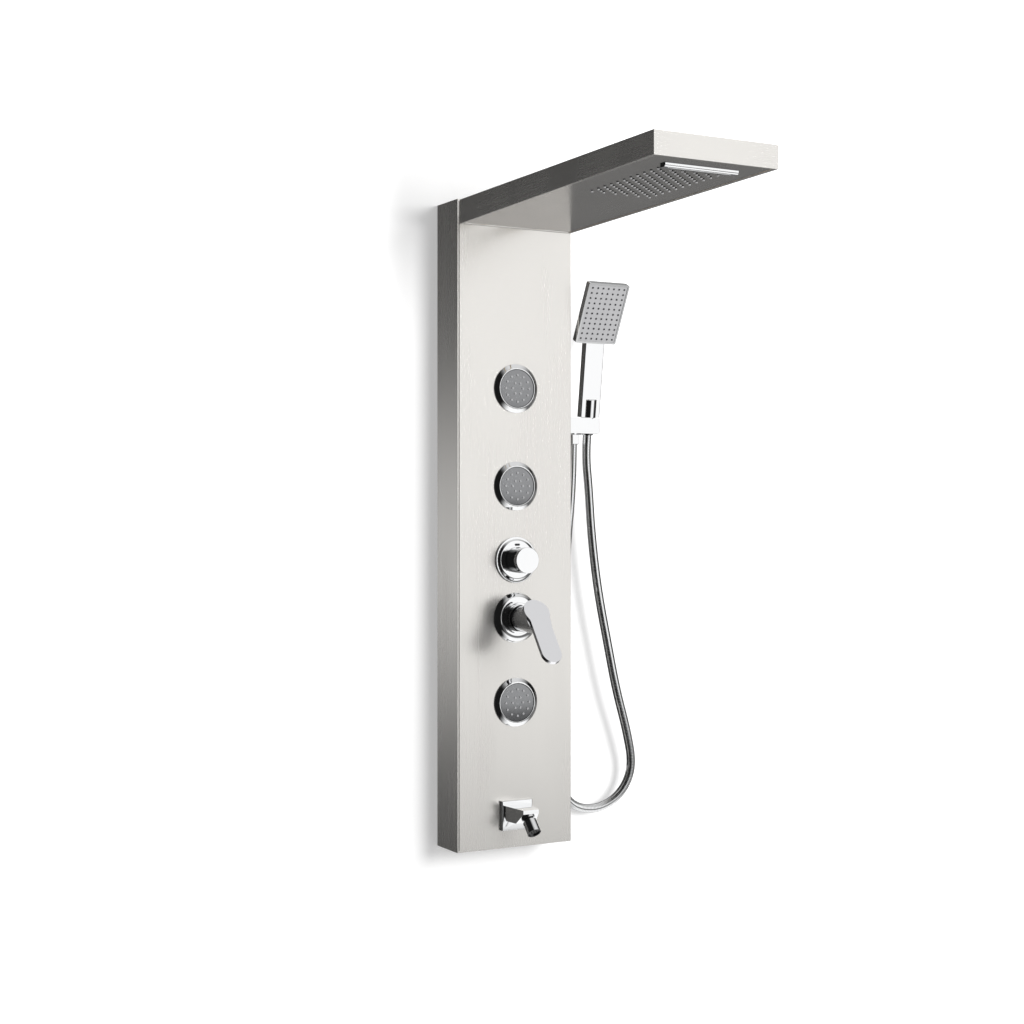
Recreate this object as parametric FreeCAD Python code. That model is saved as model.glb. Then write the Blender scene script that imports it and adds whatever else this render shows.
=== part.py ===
import FreeCAD, Part

import math
import os

from FreeCAD import Placement, Rotation, Vector

# Shower panel column with an overhead arm, three body jets, a diverter, a lever mixer,
# a foot spout and a hand shower on a hose.
# Millimetres. +Z is up, the front faces -Y and the wall is the plane Y = 0.
# The origin is the centre of the pattern of wall screws, at half the column's height.

# ---- clearances ----
FIT = 0.1              # round pieces of one body, one inside the other
RUNNING = 0.05         # radial play of a spindle or a pin that turns
AIR = 0.5              # between round faces of pieces that move past each other
PAST = 1.0             # how far a cut runs beyond what it cuts

# ---- column ----
COLUMN_HEIGHT = 1000.0
COLUMN_WIDTH = 202.0
COLUMN_DEPTH = 70.0    # from the wall to the front of the cover
SHEET = 1.5
COVER_MARGIN = 3.0     # strip of the housing that shows round the cover
FRONT_FLANGE = 18.0
REAR_LIP = 8.0
STUDS_PER_SIDE = 4
STUD_RADIUS = 2.0
STUD_LENGTH = 8.0
STUD_NUT_FLATS = 7.0
STUD_NUT_HEIGHT = 3.2
STUD_END_MARGIN = 45.0
STUD_TOP_MARGIN = 95.0
STUD_INSET = 9.9           # from the side of the column

# ---- heights of the controls ----
DIVERTER_HEIGHT = 447.0    # above the column's lower end
MIXER_DROP = 90.0          # from the diverter down to the mixer
JET_RISES = (266.0, 114.5) # from the diverter up to the two upper jets
JET_DROP = 131.5           # from the mixer down to the lowest jet
MIXER_HEIGHT = DIVERTER_HEIGHT - MIXER_DROP
JET_HEIGHTS = tuple(DIVERTER_HEIGHT + rise for rise in JET_RISES) + (MIXER_HEIGHT - JET_DROP,)

# ---- wall hangers ----
SCREW_SPACING_X = 80.0
SCREW_END_MARGIN = 80.0    # from the end of the column to the line of screws
SCREW_SPACING_Z = COLUMN_HEIGHT - 2 * SCREW_END_MARGIN
SCREW_HOLE_RADIUS = 2.75
HANGER_WIDTH = 130.0
HANGER_PLATE = 3.0
HANGER_TOP_EDGE = 12.0     # plate above the screw line
HANGER_DROP = 45.0         # screw line to the underside of the hook
HOOK_LIP = 2.0
HOOK_LIP_HEIGHT = 12.0
STRAP_SETBACK = 12.5       # wall to the back of the strap
STRAP_HEIGHT = 30.0
STRAP_PLAY = 1.5           # strap to the lip of the hook

# ---- overhead arm ----
ARM_REACH = 533.0
ARM_ROOT_THICKNESS = 37.0
ARM_TOP_DROP = 1.5         # below the top of the housing
ARM_TOP_RISE = 4.5         # of the top, from the wall end to the front
ARM_UNDER_RISE = 9.5       # of the underside, over the same length
ARM_LIP = 6.0              # folded edge round the underside
ARM_BOLT_RADIUS = 3.0
ARM_BOLT_HEAD_RADIUS = 5.0
ARM_BOLT_HEAD_HEIGHT = 4.0
ARM_BOLT_INSET = 11.0      # from the side of the column
ARM_BOLT_SPACING = 18.0
ARM_BOLT_TAIL = 3.0        # behind the bracket
BRACKET_PLATE = 4.0
BRACKET_DEPTH = 70.0       # height of the plate inside the column
BRACKET_ARM_SETBACK = 293.0    # end of the bracket's arms, from the front of the arm
BRACKET_ARM_LENGTH = ARM_REACH - BRACKET_ARM_SETBACK
BRACKET_ARM_HEIGHT = 22.0
BRACKET_ARM_OFFSET = 78.0

# ---- rain field and waterfall ----
RAIN_ROWS = 21
RAIN_IN_ROW = 6            # every other row has one fewer
RAIN_PITCH_X = 19.0
RAIN_PITCH_Y = 8.2
RAIN_SETBACK = 229.0       # first row, from the front of the arm
RAIN_START = ARM_REACH - RAIN_SETBACK
RAIN_TIP_RADIUS = 1.7
RAIN_TIP_DROP = 1.8        # below the folded edge
TIP_BORE = 0.6
MAT = 2.0
CHAMBER_WALL = 2.0
RAIN_CHAMBER_HEIGHT = 19.0
RAIN_CHAMBER_MARGIN = 9.0
FALL_WIDTH = 116.0
FALL_SETBACK = 45.0        # rear of the bar, from the front of the arm
FALL_START = ARM_REACH - FALL_SETBACK
FALL_DEPTH = 12.0
FALL_DROP = 4.5
FALL_ROUND = 3.0           # of the bar's lower front edge
FALL_SLIT = 1.8
FALL_SLIT_MARGIN = 8.0     # from the end of the bar to the end of its slit
FALL_CHAMBER_HEIGHT = 16.0
FALL_FLANGE = 3.0

# ---- water pipes inside ----
PIPE_RADIUS = 6.0
PIPE_BORE = 4.5
PIPE_BEND = 12.0
PIPE_RUN = 4.0             # straight pipe beyond the diverter, before the first bend
PIPE_SETBACK = 24.0        # front of the cover to the plane of the pipes
RISER_X = 46.0
ARM_PIPE_DROP = 18.0       # below the top of the column
SPOUT_PIPE_X = 62.0
HANDSET_PIPE_X = 76.0
MANIFOLD_SETBACK = 22.0    # from the wall
MANIFOLD_RADIUS = 7.0
MANIFOLD_BORE = 5.5

# ---- body jets ----
JET_RING_RADIUS = 38.0
JET_RING_OUT = 6.0
JET_RING_EDGE = 1.4        # height of the ring's straight outer edge
JET_RING_STEP = 0.8        # of that edge, in and up, before the bevel
JET_RING_SKIRT = 1.9
JET_LIP_WIDTH = 1.6
JET_LIP_HEIGHT = 1.4
JET_LIP_SLOPE = 1.2
JET_LIP_PLAY = 0.2         # of the ring, beyond the air round the ball
JET_BALL_RADIUS = 30.5
JET_FACE_OUT = 5.0         # rim of the face, in front of the cover
JET_FACE_AHEAD = 9.0       # rim of the face, in front of the ball's centre
JET_FACE_DOME = 2.0
JET_CUP_WALL = 2.5
JET_CUP_DEPTH = 29.5
JET_TAIL = 6.5             # behind the cup
JET_NUT_WIDTH = 7.0
JET_NUT_FLATS = 74.0
JET_OUTER_TIPS = 12
JET_INNER_TIPS = 6
JET_OUTER_CIRCLE = 20.5
JET_INNER_CIRCLE = 9.0
JET_TIP_RADIUS = 1.5
JET_TIP_OUT = 1.2
JET_FLANGE = 1.2
JET_FACE_THICKNESS = 3.5
JET_BALL_BEHIND = 16.0     # of the ball, behind its centre
JET_BALL_WALL = 2.5
JET_SEAT_BEHIND = 11.0     # friction ring, behind the ball's centre
JET_SEAT_WIDTH = 4.0
JET_SEAT_PLAY = 0.3

# ---- diverter ----
DIVERTER_FLANGE_RADIUS = 36.0
DIVERTER_FLANGE_OUT = 5.5
DIVERTER_RIM_OUT = 3.0
DIVERTER_RIM_ROUND = 0.6
DIVERTER_RIM_WIDTH = 2.6
DIVERTER_SLOPE_WIDTH = 4.9
KNOB_RADIUS = 20.0
KNOB_OUT = 38.5
KNOB_WALL = 2.7
KNOB_CAP = 2.3
KNOB_CAP_STEP = 1.2
KNOB_EDGE = 0.5
KNOB_LIFT = 1.0            # above the flange
KNOB_WEB = 4.0
KNOB_HUB_WALL = 3.0
KNOB_HUB_LIFT = 2.0        # above the bonnet
KNOB_BLIND = 3.7           # front of the knob to the end of the spindle
SPINDLE_RADIUS = 5.0
DIVERTER_NECK_RADIUS = 14.0
DIVERTER_NECK_OUT = 12.0
DIVERTER_BLOCK_HALF_X = 28.0
DIVERTER_BLOCK_HALF_Z = 26.0
DIVERTER_BLOCK_DEPTH = 37.5
DIVERTER_CAVITY_RADIUS = 12.0
DIVERTER_PORT_X = 9.5
DIVERTER_CAVITY_DEPTH = 16.0
DIVERTER_PLATE = 4.0       # valve plate on the spindle
BONNET_LID = 2.0
KNOB_GROOVE = 0.6
MARKER_GAP = 1.8
MARKER_WIDTH = 8.0
MARKER_HEIGHT = 3.5
MARKER_OUT = 1.2

# ---- mixer ----
MIXER_FLANGE_RADIUS = 39.0
MIXER_FLANGE_OUT = 8.0
MIXER_RIM_OUT = 1.6
MIXER_RIM_STEP_IN = 1.2
MIXER_RIM_STEP_UP = 1.0
MIXER_SHOULDER = 1.5       # flat of the flange round the collar
MIXER_DOME_SHIFT = 1.5     # of the dome's middle, towards the rim
MIXER_DOME_OUT = 6.24      # of the dome's middle
MIXER_NECK_RADIUS = 19.0
MIXER_NECK_OUT = 11.0
CARTRIDGE_RADIUS = 17.5
CARTRIDGE_DEPTH = 28.0
CARTRIDGE_SOCKET = 8.0
MIXER_COLLAR_RADIUS = 24.0
MIXER_COLLAR_OUT = 13.0
MIXER_COLLAR_EDGE = 0.6
MIXER_GROOVE = 1.0         # deep and wide, between the collar's two steps
MIXER_TRIM_RADIUS = 21.0
MIXER_TRIM_OUT = 20.0
MIXER_BLOCK_HALF_X = 45.0
MIXER_BLOCK_HALF_Z = 26.0
MIXER_BLOCK_DEPTH = 38.0
SWIVEL_RADIUS = 17.0
SWIVEL_NECK_RADIUS = 10.0
SWIVEL_END_PLAY = 1.0
LEVER_PIVOT_OUT = 30.0
LEVER_PIN_RADIUS = 2.5
LEVER_HUB_RADIUS = 20.5
LEVER_SKIRT_LOW = 24.0
LEVER_SKIRT_HIGH = 28.0
LEVER_HEAD_OUT = 67.0
LEVER_HEAD_RISE = 13.0
LEVER_LEAN = 37.0
LEVER_HEAD_RADIUS = 21.5
LEVER_HALF_WIDTH = 16.5
LEVER_LENGTH = 91.0
LEVER_THICKNESS = 6.0
LEVER_WAIST_RADIUS = 16.0
INLET_RADIUS = 10.475      # G 1/2 thread
INLET_BORE = 7.0
INLET_LENGTH = 16.0
INLET_COLLAR_FLATS = 24.0
INLET_COLLAR_HEIGHT = 5.0
INLET_SPACING = 60.0

# ---- tails of the spout and of the holder ----
TAIL_RADIUS = 10.0
TAIL_NUT_FLATS = 30.0
TAIL_NUT_WIDTH = 5.0
TAIL_BLOCK_WALL = 1.0

# ---- spout ----
SPOUT_HEIGHT = 51.0
SPOUT_PLATE_WIDTH = 54.0
SPOUT_PLATE_HEIGHT = 46.0
SPOUT_PLATE_OUT = 6.0
SPOUT_PLATE_CHAMFER = 0.8
SPOUT_ROOT_WIDTH = 46.0
SPOUT_NOSE_WIDTH = 27.0
SPOUT_REACH = 49.0
SPOUT_TOP = 16.0           # above the spout's axis
SPOUT_UNDER = -8.0         # belly, against the same axis
SPOUT_NOSE_UNDER = 8.0
SPOUT_TOP_FALL = 2.0       # of the top, from the plate to the nose
SPOUT_HEEL = 4.0           # length of the slope from the plate down to the belly
SPOUT_HEEL_RISE = 7.0
SPOUT_BELLY_RISE = 1.0     # of the belly at the heel
SPOUT_CREASE_OUT = 32.0
AERATOR_RADIUS = 10.75
AERATOR_LENGTH = 27.0
AERATOR_BALL_RADIUS = 8.5
AERATOR_NECK_RADIUS = 7.0
AERATOR_BALL_OUT = 8.0
AERATOR_THREAD = 6.0
AERATOR_COLLAR = 2.6
AERATOR_COLLAR_PLAY = 0.3
AERATOR_LAP = 2.0          # of the shell, behind the ball's centre
AERATOR_WALL = 1.6
AERATOR_RECESS = 2.0
AERATOR_HOLES = 6
AERATOR_HOLE_RADIUS = 1.3
AERATOR_HOLE_CIRCLE = 4.2

# ---- hand shower holder and outlet ----
HOLDER_HEIGHT = 659.0
HOLDER_LENGTH = 57.0
HOLDER_THICKNESS = 25.3
HOLDER_DEPTH = 42.0
HOLDER_FRONT_SETBACK = 6.0     # behind the front of the cover
HOLDER_STUB_LENGTH = 8.0
HOLDER_FILLET = 1.2
OUTLET_OFFSET = 18.0           # from the side of the column
OUTLET_SETBACK = 26.0          # behind the front of the cover
OUTLET_RADIUS = 8.0
OUTLET_LENGTH = 12.0
OUTLET_COLLAR = 1.2
OUTLET_COLLAR_WIDTH = 1.5
HOSE_NUT_FLATS = 20.0
HOSE_NUT_LENGTH = 15.6
CRADLE_OFFSET = 42.5           # bore for the hand shower, from the side of the column
CRADLE_SETBACK = 20.0
CRADLE_SLOT = 16.0

# ---- hand shower ----
HANDSET_LEAN = 7.5
CONE_TOP_RADIUS = 12.0
CONE_END_RADIUS = 9.5
CONE_TOP = 12.4
CONE_END = -14.0
CONE_PLAY = 0.4
HANDLE_WIDTH = 36.0
HANDLE_THICKNESS = 12.0
HANDLE_START = 14.4
HANDLE_END = 138.5
HANDLE_FILLET = 2.0
CONNECTOR_RADIUS = 11.4
CONNECTOR_END = 43.0
CONNECTOR_SPIGOT_RADIUS = 8.0
CONNECTOR_CHAMFER = 1.0
HEAD_LEAN = 18.5               # beyond the handle's lean
HEAD_WIDTH = 74.5
HEAD_LENGTH = 100.0
HEAD_THICKNESS = 10.0
HEAD_LAP = 4.0                 # of the head over the handle's end
HEAD_RIM = 3.0
HEAD_PROUD = 1.0               # of the head's front, beyond the handle's
HEAD_CHAMBER = 3.0
FACE_RECESS = 0.8
FACE_THICKNESS = 2.0
HEAD_TIPS_ACROSS = 7
HEAD_TIPS_ALONG = 11
HEAD_TIP_PITCH_ACROSS = 9.7
HEAD_TIP_PITCH_ALONG = 8.4
HEAD_TIP_RADIUS = 1.4
HEAD_TIP_OUT = 0.9
WATERWAY = 4.0

# ---- hose ----
HOSE_RADIUS = 7.0
HOSE_BORE = 4.0
HOSE_RIBS = 200
RIB_DEPTH = 0.6
RIB_SHARES = (0.0, 0.2, 0.6, 0.8)   # of a pitch: valley, top, end of the top, valley
RUN_SHARE = 0.45                    # of the shorter run, for each arc
# Corners of the hose's route between its two ends, which follow the nuts.
HOSE_ROUTE = [
    (152.0, -42.5, 62.0),
    (156.5, -42.0, -12.0),
    (167.0, -42.0, -104.0),
    (187.0, -42.0, -196.0),
    (203.5, -40.5, -268.0),
    (227.0, -36.5, -338.0),
    (241.5, -31.5, -397.0),
    (223.0, -28.5, -440.0),
    (183.0, -28.0, -461.0),
    (139.0, -29.0, -453.5),
    (111.5, -32.0, -419.0),
    (109.5, -36.5, -360.0),
    (110.5, -40.0, -270.0),
    (113.0, -42.5, -155.0),
    (118.0, -43.5, -40.0),
]
HOSE_LEAD = 34.0               # first run, below the hand shower
HOSE_DROP = 69.5               # last run, below the outlet

# ---- places worked out from the sizes above ----
HALF_WIDTH = COLUMN_WIDTH / 2
HALF_HEIGHT = COLUMN_HEIGHT / 2
COVER_FRONT = -COLUMN_DEPTH
COVER_BACK = COVER_FRONT + SHEET
FLANGE_BACK = COVER_BACK + SHEET
COVER_HALF_WIDTH = HALF_WIDTH - COVER_MARGIN
PIPE_Y = COVER_FRONT + PIPE_SETBACK
JET_CUP_OUTER = JET_BALL_RADIUS + AIR + JET_CUP_WALL

ACROSS = Vector(1, 0, 0)
OUTWARD = Vector(0, -1, 0)
UPWARD = Vector(0, 0, 1)


def height(value):
    """Z of a place that is given as a height above the column's lower end."""
    return value - HALF_HEIGHT


def ahead(distance, level=0.0, x=0.0):
    """Point at a distance in front of the cover."""
    return Vector(x, COVER_FRONT - distance, level)


def box(x, y, z):
    corner = Vector(x[0], y[0], z[0])
    return Part.makeBox(x[1] - x[0], y[1] - y[0], z[1] - z[0], corner)


def rod(radius, start, end):
    return Part.makeCylinder(radius, (end - start).Length, start, end - start)


def tube(outer, bore, start, end):
    return rod(outer, start, end).cut(rod(bore, start, end))


def taper(start_radius, end_radius, start, end):
    return Part.makeCone(start_radius, end_radius, (end - start).Length, start, end - start)


def face_of(outline, place):
    """Face of an outline. An item of four numbers is an arc: a point on it, then its end."""
    edges = []
    start = place(*outline[0][-2:])
    for item in outline[1:] + outline[:1]:
        end = place(*item[-2:])
        if len(item) == 4:
            edges.append(Part.Arc(start, place(*item[:2]), end).toShape())
        else:
            edges.append(Part.LineSegment(start, end).toShape())
        start = end
    return Part.Face(Part.Wire(edges))


def turned(outline, origin, axis=OUTWARD):
    """Solid of revolution: outline items are (radius, distance along the axis)."""
    face = face_of(outline, lambda radius, along: origin + ACROSS * radius + axis * along)
    return face.revolve(origin, axis, 360)


def side_prism(outline, half_width):
    """Prism across X of an outline of (distance in front of the cover, Z)."""
    face = face_of(outline, lambda out, z: Vector(-half_width, COVER_FRONT - out, z))
    return face.extrude(ACROSS * (2 * half_width))


def hexagon(flats, bore, start, end):
    axis = (end - start).normalize()
    side = ACROSS if abs(axis.x) < 0.5 else OUTWARD
    other = axis.cross(side)
    corner = flats / 2 / math.cos(math.pi / 6)
    points = []
    for step in range(7):
        turn = math.pi / 3 * step
        points.append(start + side * (corner * math.cos(turn)) + other * (corner * math.sin(turn)))
    prism = Part.Face(Part.makePolygon(points)).extrude(end - start)
    return prism.cut(rod(bore, start, end))


def mirrored_pair(values):
    return [-value for value in values] + list(values)


def joined(pieces):
    """One solid of overlapping pieces."""
    return pieces[0].multiFuse(pieces[1:]).removeSplitter()


# ---- bent pipes and the hose ----

def half_turn(before, corner, after):
    back = (before - corner).normalize()
    onward = (after - corner).normalize()
    return (math.pi - back.getAngle(onward)) / 2


def rounded_path(points, radii):
    """Straight runs joined by tangent arcs, one radius for each inner point."""
    edges = []
    last = points[0]
    for index, radius in enumerate(radii, start=1):
        corner = points[index]
        back = (points[index - 1] - corner).normalize()
        onward = (points[index + 1] - corner).normalize()
        half = half_turn(points[index - 1], corner, points[index + 1])
        cut = radius * math.tan(half)
        inward = (back + onward).normalize()
        middle = corner + inward * (radius / math.cos(half) - radius)
        start = corner + back * cut
        end = corner + onward * cut
        if (start - last).Length > 1e-6:
            edges.append(Part.LineSegment(last, start).toShape())
        edges.append(Part.Arc(start, middle, end).toShape())
        last = end
    edges.append(Part.LineSegment(last, points[-1]).toShape())
    return Part.Wire(edges)


def swept(path, radius):
    first = path.Edges[0]
    start = first.valueAt(first.FirstParameter)
    circle = Part.makeCircle(radius, start, first.tangentAt(first.FirstParameter))
    return path.makePipeShell([Part.Wire(circle)], True, False)


def bent_pipe(points, bend=PIPE_BEND):
    path = rounded_path(points, [bend] * (len(points) - 2))
    return swept(path, PIPE_RADIUS).cut(swept(path, PIPE_BORE))


# ---- column ----

def strap_edge(level):
    """Z of the strap's lower edge, for the screw line at this level."""
    return level - HANGER_DROP + HANGER_PLATE


def screw_levels():
    return mirrored_pair([SCREW_SPACING_Z / 2])


def stud_places():
    x = HALF_WIDTH - STUD_INSET
    low = -HALF_HEIGHT + STUD_END_MARGIN
    step = (HALF_HEIGHT - STUD_TOP_MARGIN - low) / (STUDS_PER_SIDE - 1)
    return [(side * x, low + step * count) for side in (-1, 1) for count in range(STUDS_PER_SIDE)]


def arm_bolt_places():
    x = HALF_WIDTH - ARM_BOLT_INSET
    middle = arm_root_middle()
    levels = (middle - ARM_BOLT_SPACING / 2, middle + ARM_BOLT_SPACING / 2)
    return [(side * x, level) for side in (-1, 1) for level in levels]


def through_holes(places, radius, front, back):
    """Rods along Y to cut round holes with, from one distance ahead of the cover to another."""
    return [rod(radius, ahead(front, z, x), ahead(back, z, x)) for x, z in places]


def flange_behind():
    """Distance of the back of the housing's front flange, ahead of the cover."""
    return COVER_FRONT - FLANGE_BACK


def rear_housing():
    inner = HALF_WIDTH - SHEET
    inner_top = HALF_HEIGHT - SHEET
    shell = box((-HALF_WIDTH, HALF_WIDTH), (COVER_BACK, 0), (-HALF_HEIGHT, HALF_HEIGHT))
    window_x = HALF_WIDTH - FRONT_FLANGE
    window_z = HALF_HEIGHT - FRONT_FLANGE
    rear_x = HALF_WIDTH - REAR_LIP
    rear_z = HALF_HEIGHT - REAR_LIP
    cuts = [
        box((-inner, inner), (FLANGE_BACK, -SHEET), (-inner_top, inner_top)),
        box((-window_x, window_x), (COVER_BACK - PAST, FLANGE_BACK), (-window_z, window_z)),
        box((-rear_x, rear_x), (-SHEET, PAST), (-rear_z, rear_z)),
    ]
    cuts += through_holes(stud_places(), STUD_RADIUS + FIT, PAST, flange_behind() - PAST)
    cuts += through_holes(arm_bolt_places(), ARM_BOLT_RADIUS + FIT, PAST, flange_behind() - PAST)
    stub = holder_place(0)
    cuts.append(rod(TAIL_RADIUS + FIT, stub - ACROSS * (SHEET + PAST), stub + ACROSS * PAST))
    cuts += arm_passages()
    shell = shell.cut(cuts)
    straps = []
    for level in screw_levels():
        low = strap_edge(level)
        back = -STRAP_SETBACK
        straps.append(box((-inner, inner), (back - SHEET, back), (low, low + STRAP_HEIGHT)))
    return joined([shell] + straps)


def front_cover():
    top = HALF_HEIGHT - COVER_MARGIN
    plate = box((-COVER_HALF_WIDTH, COVER_HALF_WIDTH), (COVER_FRONT, COVER_BACK), (-top, top))
    holes = [([(0, height(jet)) for jet in JET_HEIGHTS], JET_CUP_OUTER)]
    holes.append(([(0, height(DIVERTER_HEIGHT))], DIVERTER_NECK_RADIUS))
    holes.append(([(0, height(MIXER_HEIGHT))], MIXER_NECK_RADIUS))
    holes.append(([(0, height(SPOUT_HEIGHT))], TAIL_RADIUS))
    holes.append((arm_bolt_places(), ARM_BOLT_RADIUS))
    cuts = arm_passages()
    for places, radius in holes:
        cuts += through_holes(places, radius + FIT, PAST, -SHEET - PAST)
    plate = plate.cut(cuts)
    studs = []
    for x, z in stud_places():
        studs.append(rod(STUD_RADIUS, ahead(-SHEET / 2, z, x), ahead(-SHEET - STUD_LENGTH, z, x)))
    return joined([plate] + studs)


def cover_nuts():
    start = flange_behind()
    nuts = []
    for x, z in stud_places():
        end = ahead(start - STUD_NUT_HEIGHT, z, x)
        nuts.append(hexagon(STUD_NUT_FLATS, STUD_RADIUS + FIT, ahead(start, z, x), end))
    return Part.makeCompound(nuts)


def wall_hangers():
    half = HANGER_WIDTH / 2
    front = -(STRAP_SETBACK + SHEET + STRAP_PLAY)
    hangers = []
    for level in screw_levels():
        foot = level - HANGER_DROP
        plate = box((-half, half), (-HANGER_PLATE, 0), (foot, level + HANGER_TOP_EDGE))
        sole = box((-half, half), (front - HOOK_LIP, 0), (foot, foot + HANGER_PLATE))
        lip = box((-half, half), (front - HOOK_LIP, front), (foot, foot + HOOK_LIP_HEIGHT))
        hanger = joined([plate, sole, lip])
        for side in (-1, 1):
            centre = Vector(side * SCREW_SPACING_X / 2, 0, level)
            hanger = hanger.cut(rod(SCREW_HOLE_RADIUS, centre, centre + OUTWARD * HANGER_PLATE))
        hangers.append(hanger)
    return Part.makeCompound(hangers)


# ---- overhead arm ----

def arm_top(out):
    return HALF_HEIGHT - ARM_TOP_DROP + ARM_TOP_RISE * out / ARM_REACH


def arm_under(out):
    return HALF_HEIGHT - ARM_TOP_DROP - ARM_ROOT_THICKNESS + ARM_UNDER_RISE * out / ARM_REACH


def arm_root_middle():
    return (arm_top(0) + arm_under(0)) / 2


def on_underside(shape):
    """Tilts a shape, drawn level with the wall end of the underside, to the underside's slope."""
    slope = math.degrees(math.atan2(ARM_UNDER_RISE, ARM_REACH))
    shape.rotate(Vector(0, COVER_FRONT, arm_under(0)), ACROSS, -slope)
    return shape


def under_box(half_width, start, end, low, high):
    """Box above the level underside, from one distance ahead of the cover to another."""
    base = arm_under(0)
    y = (COVER_FRONT - end, COVER_FRONT - start)
    return box((-half_width, half_width), y, (base + low, base + high))


def arm_passages():
    """Cuts through sheets at the arm's root, for its two pipes and the bracket's two arms."""
    level = HALF_HEIGHT - ARM_PIPE_DROP
    cuts = through_holes([(-RISER_X, level), (RISER_X, level)], PIPE_RADIUS + FIT, SHEET + PAST, -2 * SHEET)
    for side in (-1, 1):
        cuts.append(bracket_arm(side, AIR))
    return cuts


def bracket_arm(side, extra=0.0):
    top = arm_top(0) - SHEET - 2 * AIR
    middle = side * BRACKET_ARM_OFFSET
    x = (middle - BRACKET_PLATE / 2 - extra, middle + BRACKET_PLATE / 2 + extra)
    y = (COVER_FRONT - BRACKET_ARM_LENGTH, FLANGE_BACK + BRACKET_PLATE)
    return box(x, y, (top - BRACKET_ARM_HEIGHT - extra, top + extra))


def arm_shell():
    def section(inset, start, end, floor):
        return [
            (start, arm_under(start) + floor),
            (end, arm_under(end) + floor),
            (end, arm_top(end) - inset),
            (start, arm_top(start) - inset),
        ]

    outer = side_prism(section(0, 0, ARM_REACH, 0), COVER_HALF_WIDTH)
    room = section(SHEET, SHEET, ARM_REACH - SHEET, SHEET)
    hollow = side_prism(room, COVER_HALF_WIDTH - SHEET)
    mouth = section(SHEET, ARM_LIP, ARM_REACH - ARM_LIP, -PAST)
    opening = side_prism(mouth, COVER_HALF_WIDTH - ARM_LIP)
    holes = through_holes(arm_bolt_places(), ARM_BOLT_RADIUS + FIT, SHEET + PAST, -PAST)
    return outer.cut([hollow, opening] + holes + arm_passages())


def rain_places():
    places = []
    for row in range(RAIN_ROWS):
        count = RAIN_IN_ROW - row % 2
        for column in range(count):
            x = (column - (count - 1) / 2) * RAIN_PITCH_X
            places.append((x, RAIN_START + row * RAIN_PITCH_Y))
    return places


def rain_end():
    return RAIN_START + (RAIN_ROWS - 1) * RAIN_PITCH_Y


def rain_half_width():
    return (RAIN_IN_ROW - 1) / 2 * RAIN_PITCH_X


def upright(radius, x, out, low, high):
    base = arm_under(0)
    return rod(radius, ahead(out, base + low, x), ahead(out, base + high, x))


def spray_plate():
    half = COVER_HALF_WIDTH - SHEET - AIR
    plate = under_box(half, SHEET + AIR, ARM_REACH - SHEET - AIR, SHEET, 2 * SHEET)
    cuts = [upright(RAIN_TIP_RADIUS + FIT, x, out, 0, 2 * SHEET + PAST) for x, out in rain_places()]
    slot = (FALL_START - FIT, FALL_START + FALL_DEPTH + FIT)
    cuts.append(under_box(FALL_WIDTH / 2 + FIT, slot[0], slot[1], 0, 2 * SHEET + PAST))
    return on_underside(plate.cut(cuts))


def nozzle_mat():
    margin = RAIN_CHAMBER_MARGIN - CHAMBER_WALL
    half = rain_half_width() + margin
    low = 2 * SHEET
    mat = under_box(half, RAIN_START - margin, rain_end() + margin, low, low + MAT)
    tips = []
    bores = []
    for x, out in rain_places():
        tips.append(upright(RAIN_TIP_RADIUS, x, out, -RAIN_TIP_DROP, low + MAT / 2))
        bores.append(upright(TIP_BORE, x, out, -RAIN_TIP_DROP - PAST, low + MAT + PAST))
    return on_underside(joined([mat] + tips).cut(bores))


def pan(half_width, start, end, low, roof):
    """Shallow pan that is open below."""
    wall = CHAMBER_WALL
    outer = under_box(half_width, start, end, low, roof)
    return outer.cut(under_box(half_width - wall, start + wall, end - wall, low - PAST, roof - wall))


def arm_pipe_level(out):
    """Level of the arm's pipes, as it stands before the tilt of the underside."""
    return HALF_HEIGHT - ARM_PIPE_DROP - (arm_under(out) - arm_under(0))


def rain_chamber():
    half = rain_half_width() + RAIN_CHAMBER_MARGIN
    start = RAIN_START - RAIN_CHAMBER_MARGIN
    end = rain_end() + RAIN_CHAMBER_MARGIN
    low = 2 * SHEET
    # The pan's rim stands on the plate, round the mat.
    body = pan(half, start, end, low, low + RAIN_CHAMBER_HEIGHT)
    level = arm_pipe_level(start)
    inner = start + CHAMBER_WALL + PAST
    inlet = rod(PIPE_BORE, ahead(start - PAST, level, -RISER_X), ahead(inner, level, -RISER_X))
    return on_underside(body.cut(inlet))


def fall_middle():
    return FALL_START + FALL_DEPTH / 2


def fall_chamber_half():
    return FALL_WIDTH / 2 + FALL_FLANGE


def waterfall_chamber():
    half = fall_chamber_half()
    low = 2 * SHEET + MAT
    start = FALL_START - FALL_FLANGE
    end = FALL_START + FALL_DEPTH + FALL_FLANGE
    body = pan(half, start, end, low, low + FALL_CHAMBER_HEIGHT)
    level = arm_pipe_level(fall_middle())
    inside = ahead(fall_middle(), level, half - CHAMBER_WALL - PAST)
    outside = ahead(fall_middle(), level, half + PAST)
    return on_underside(body.cut(rod(PIPE_BORE, inside, outside)))


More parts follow.
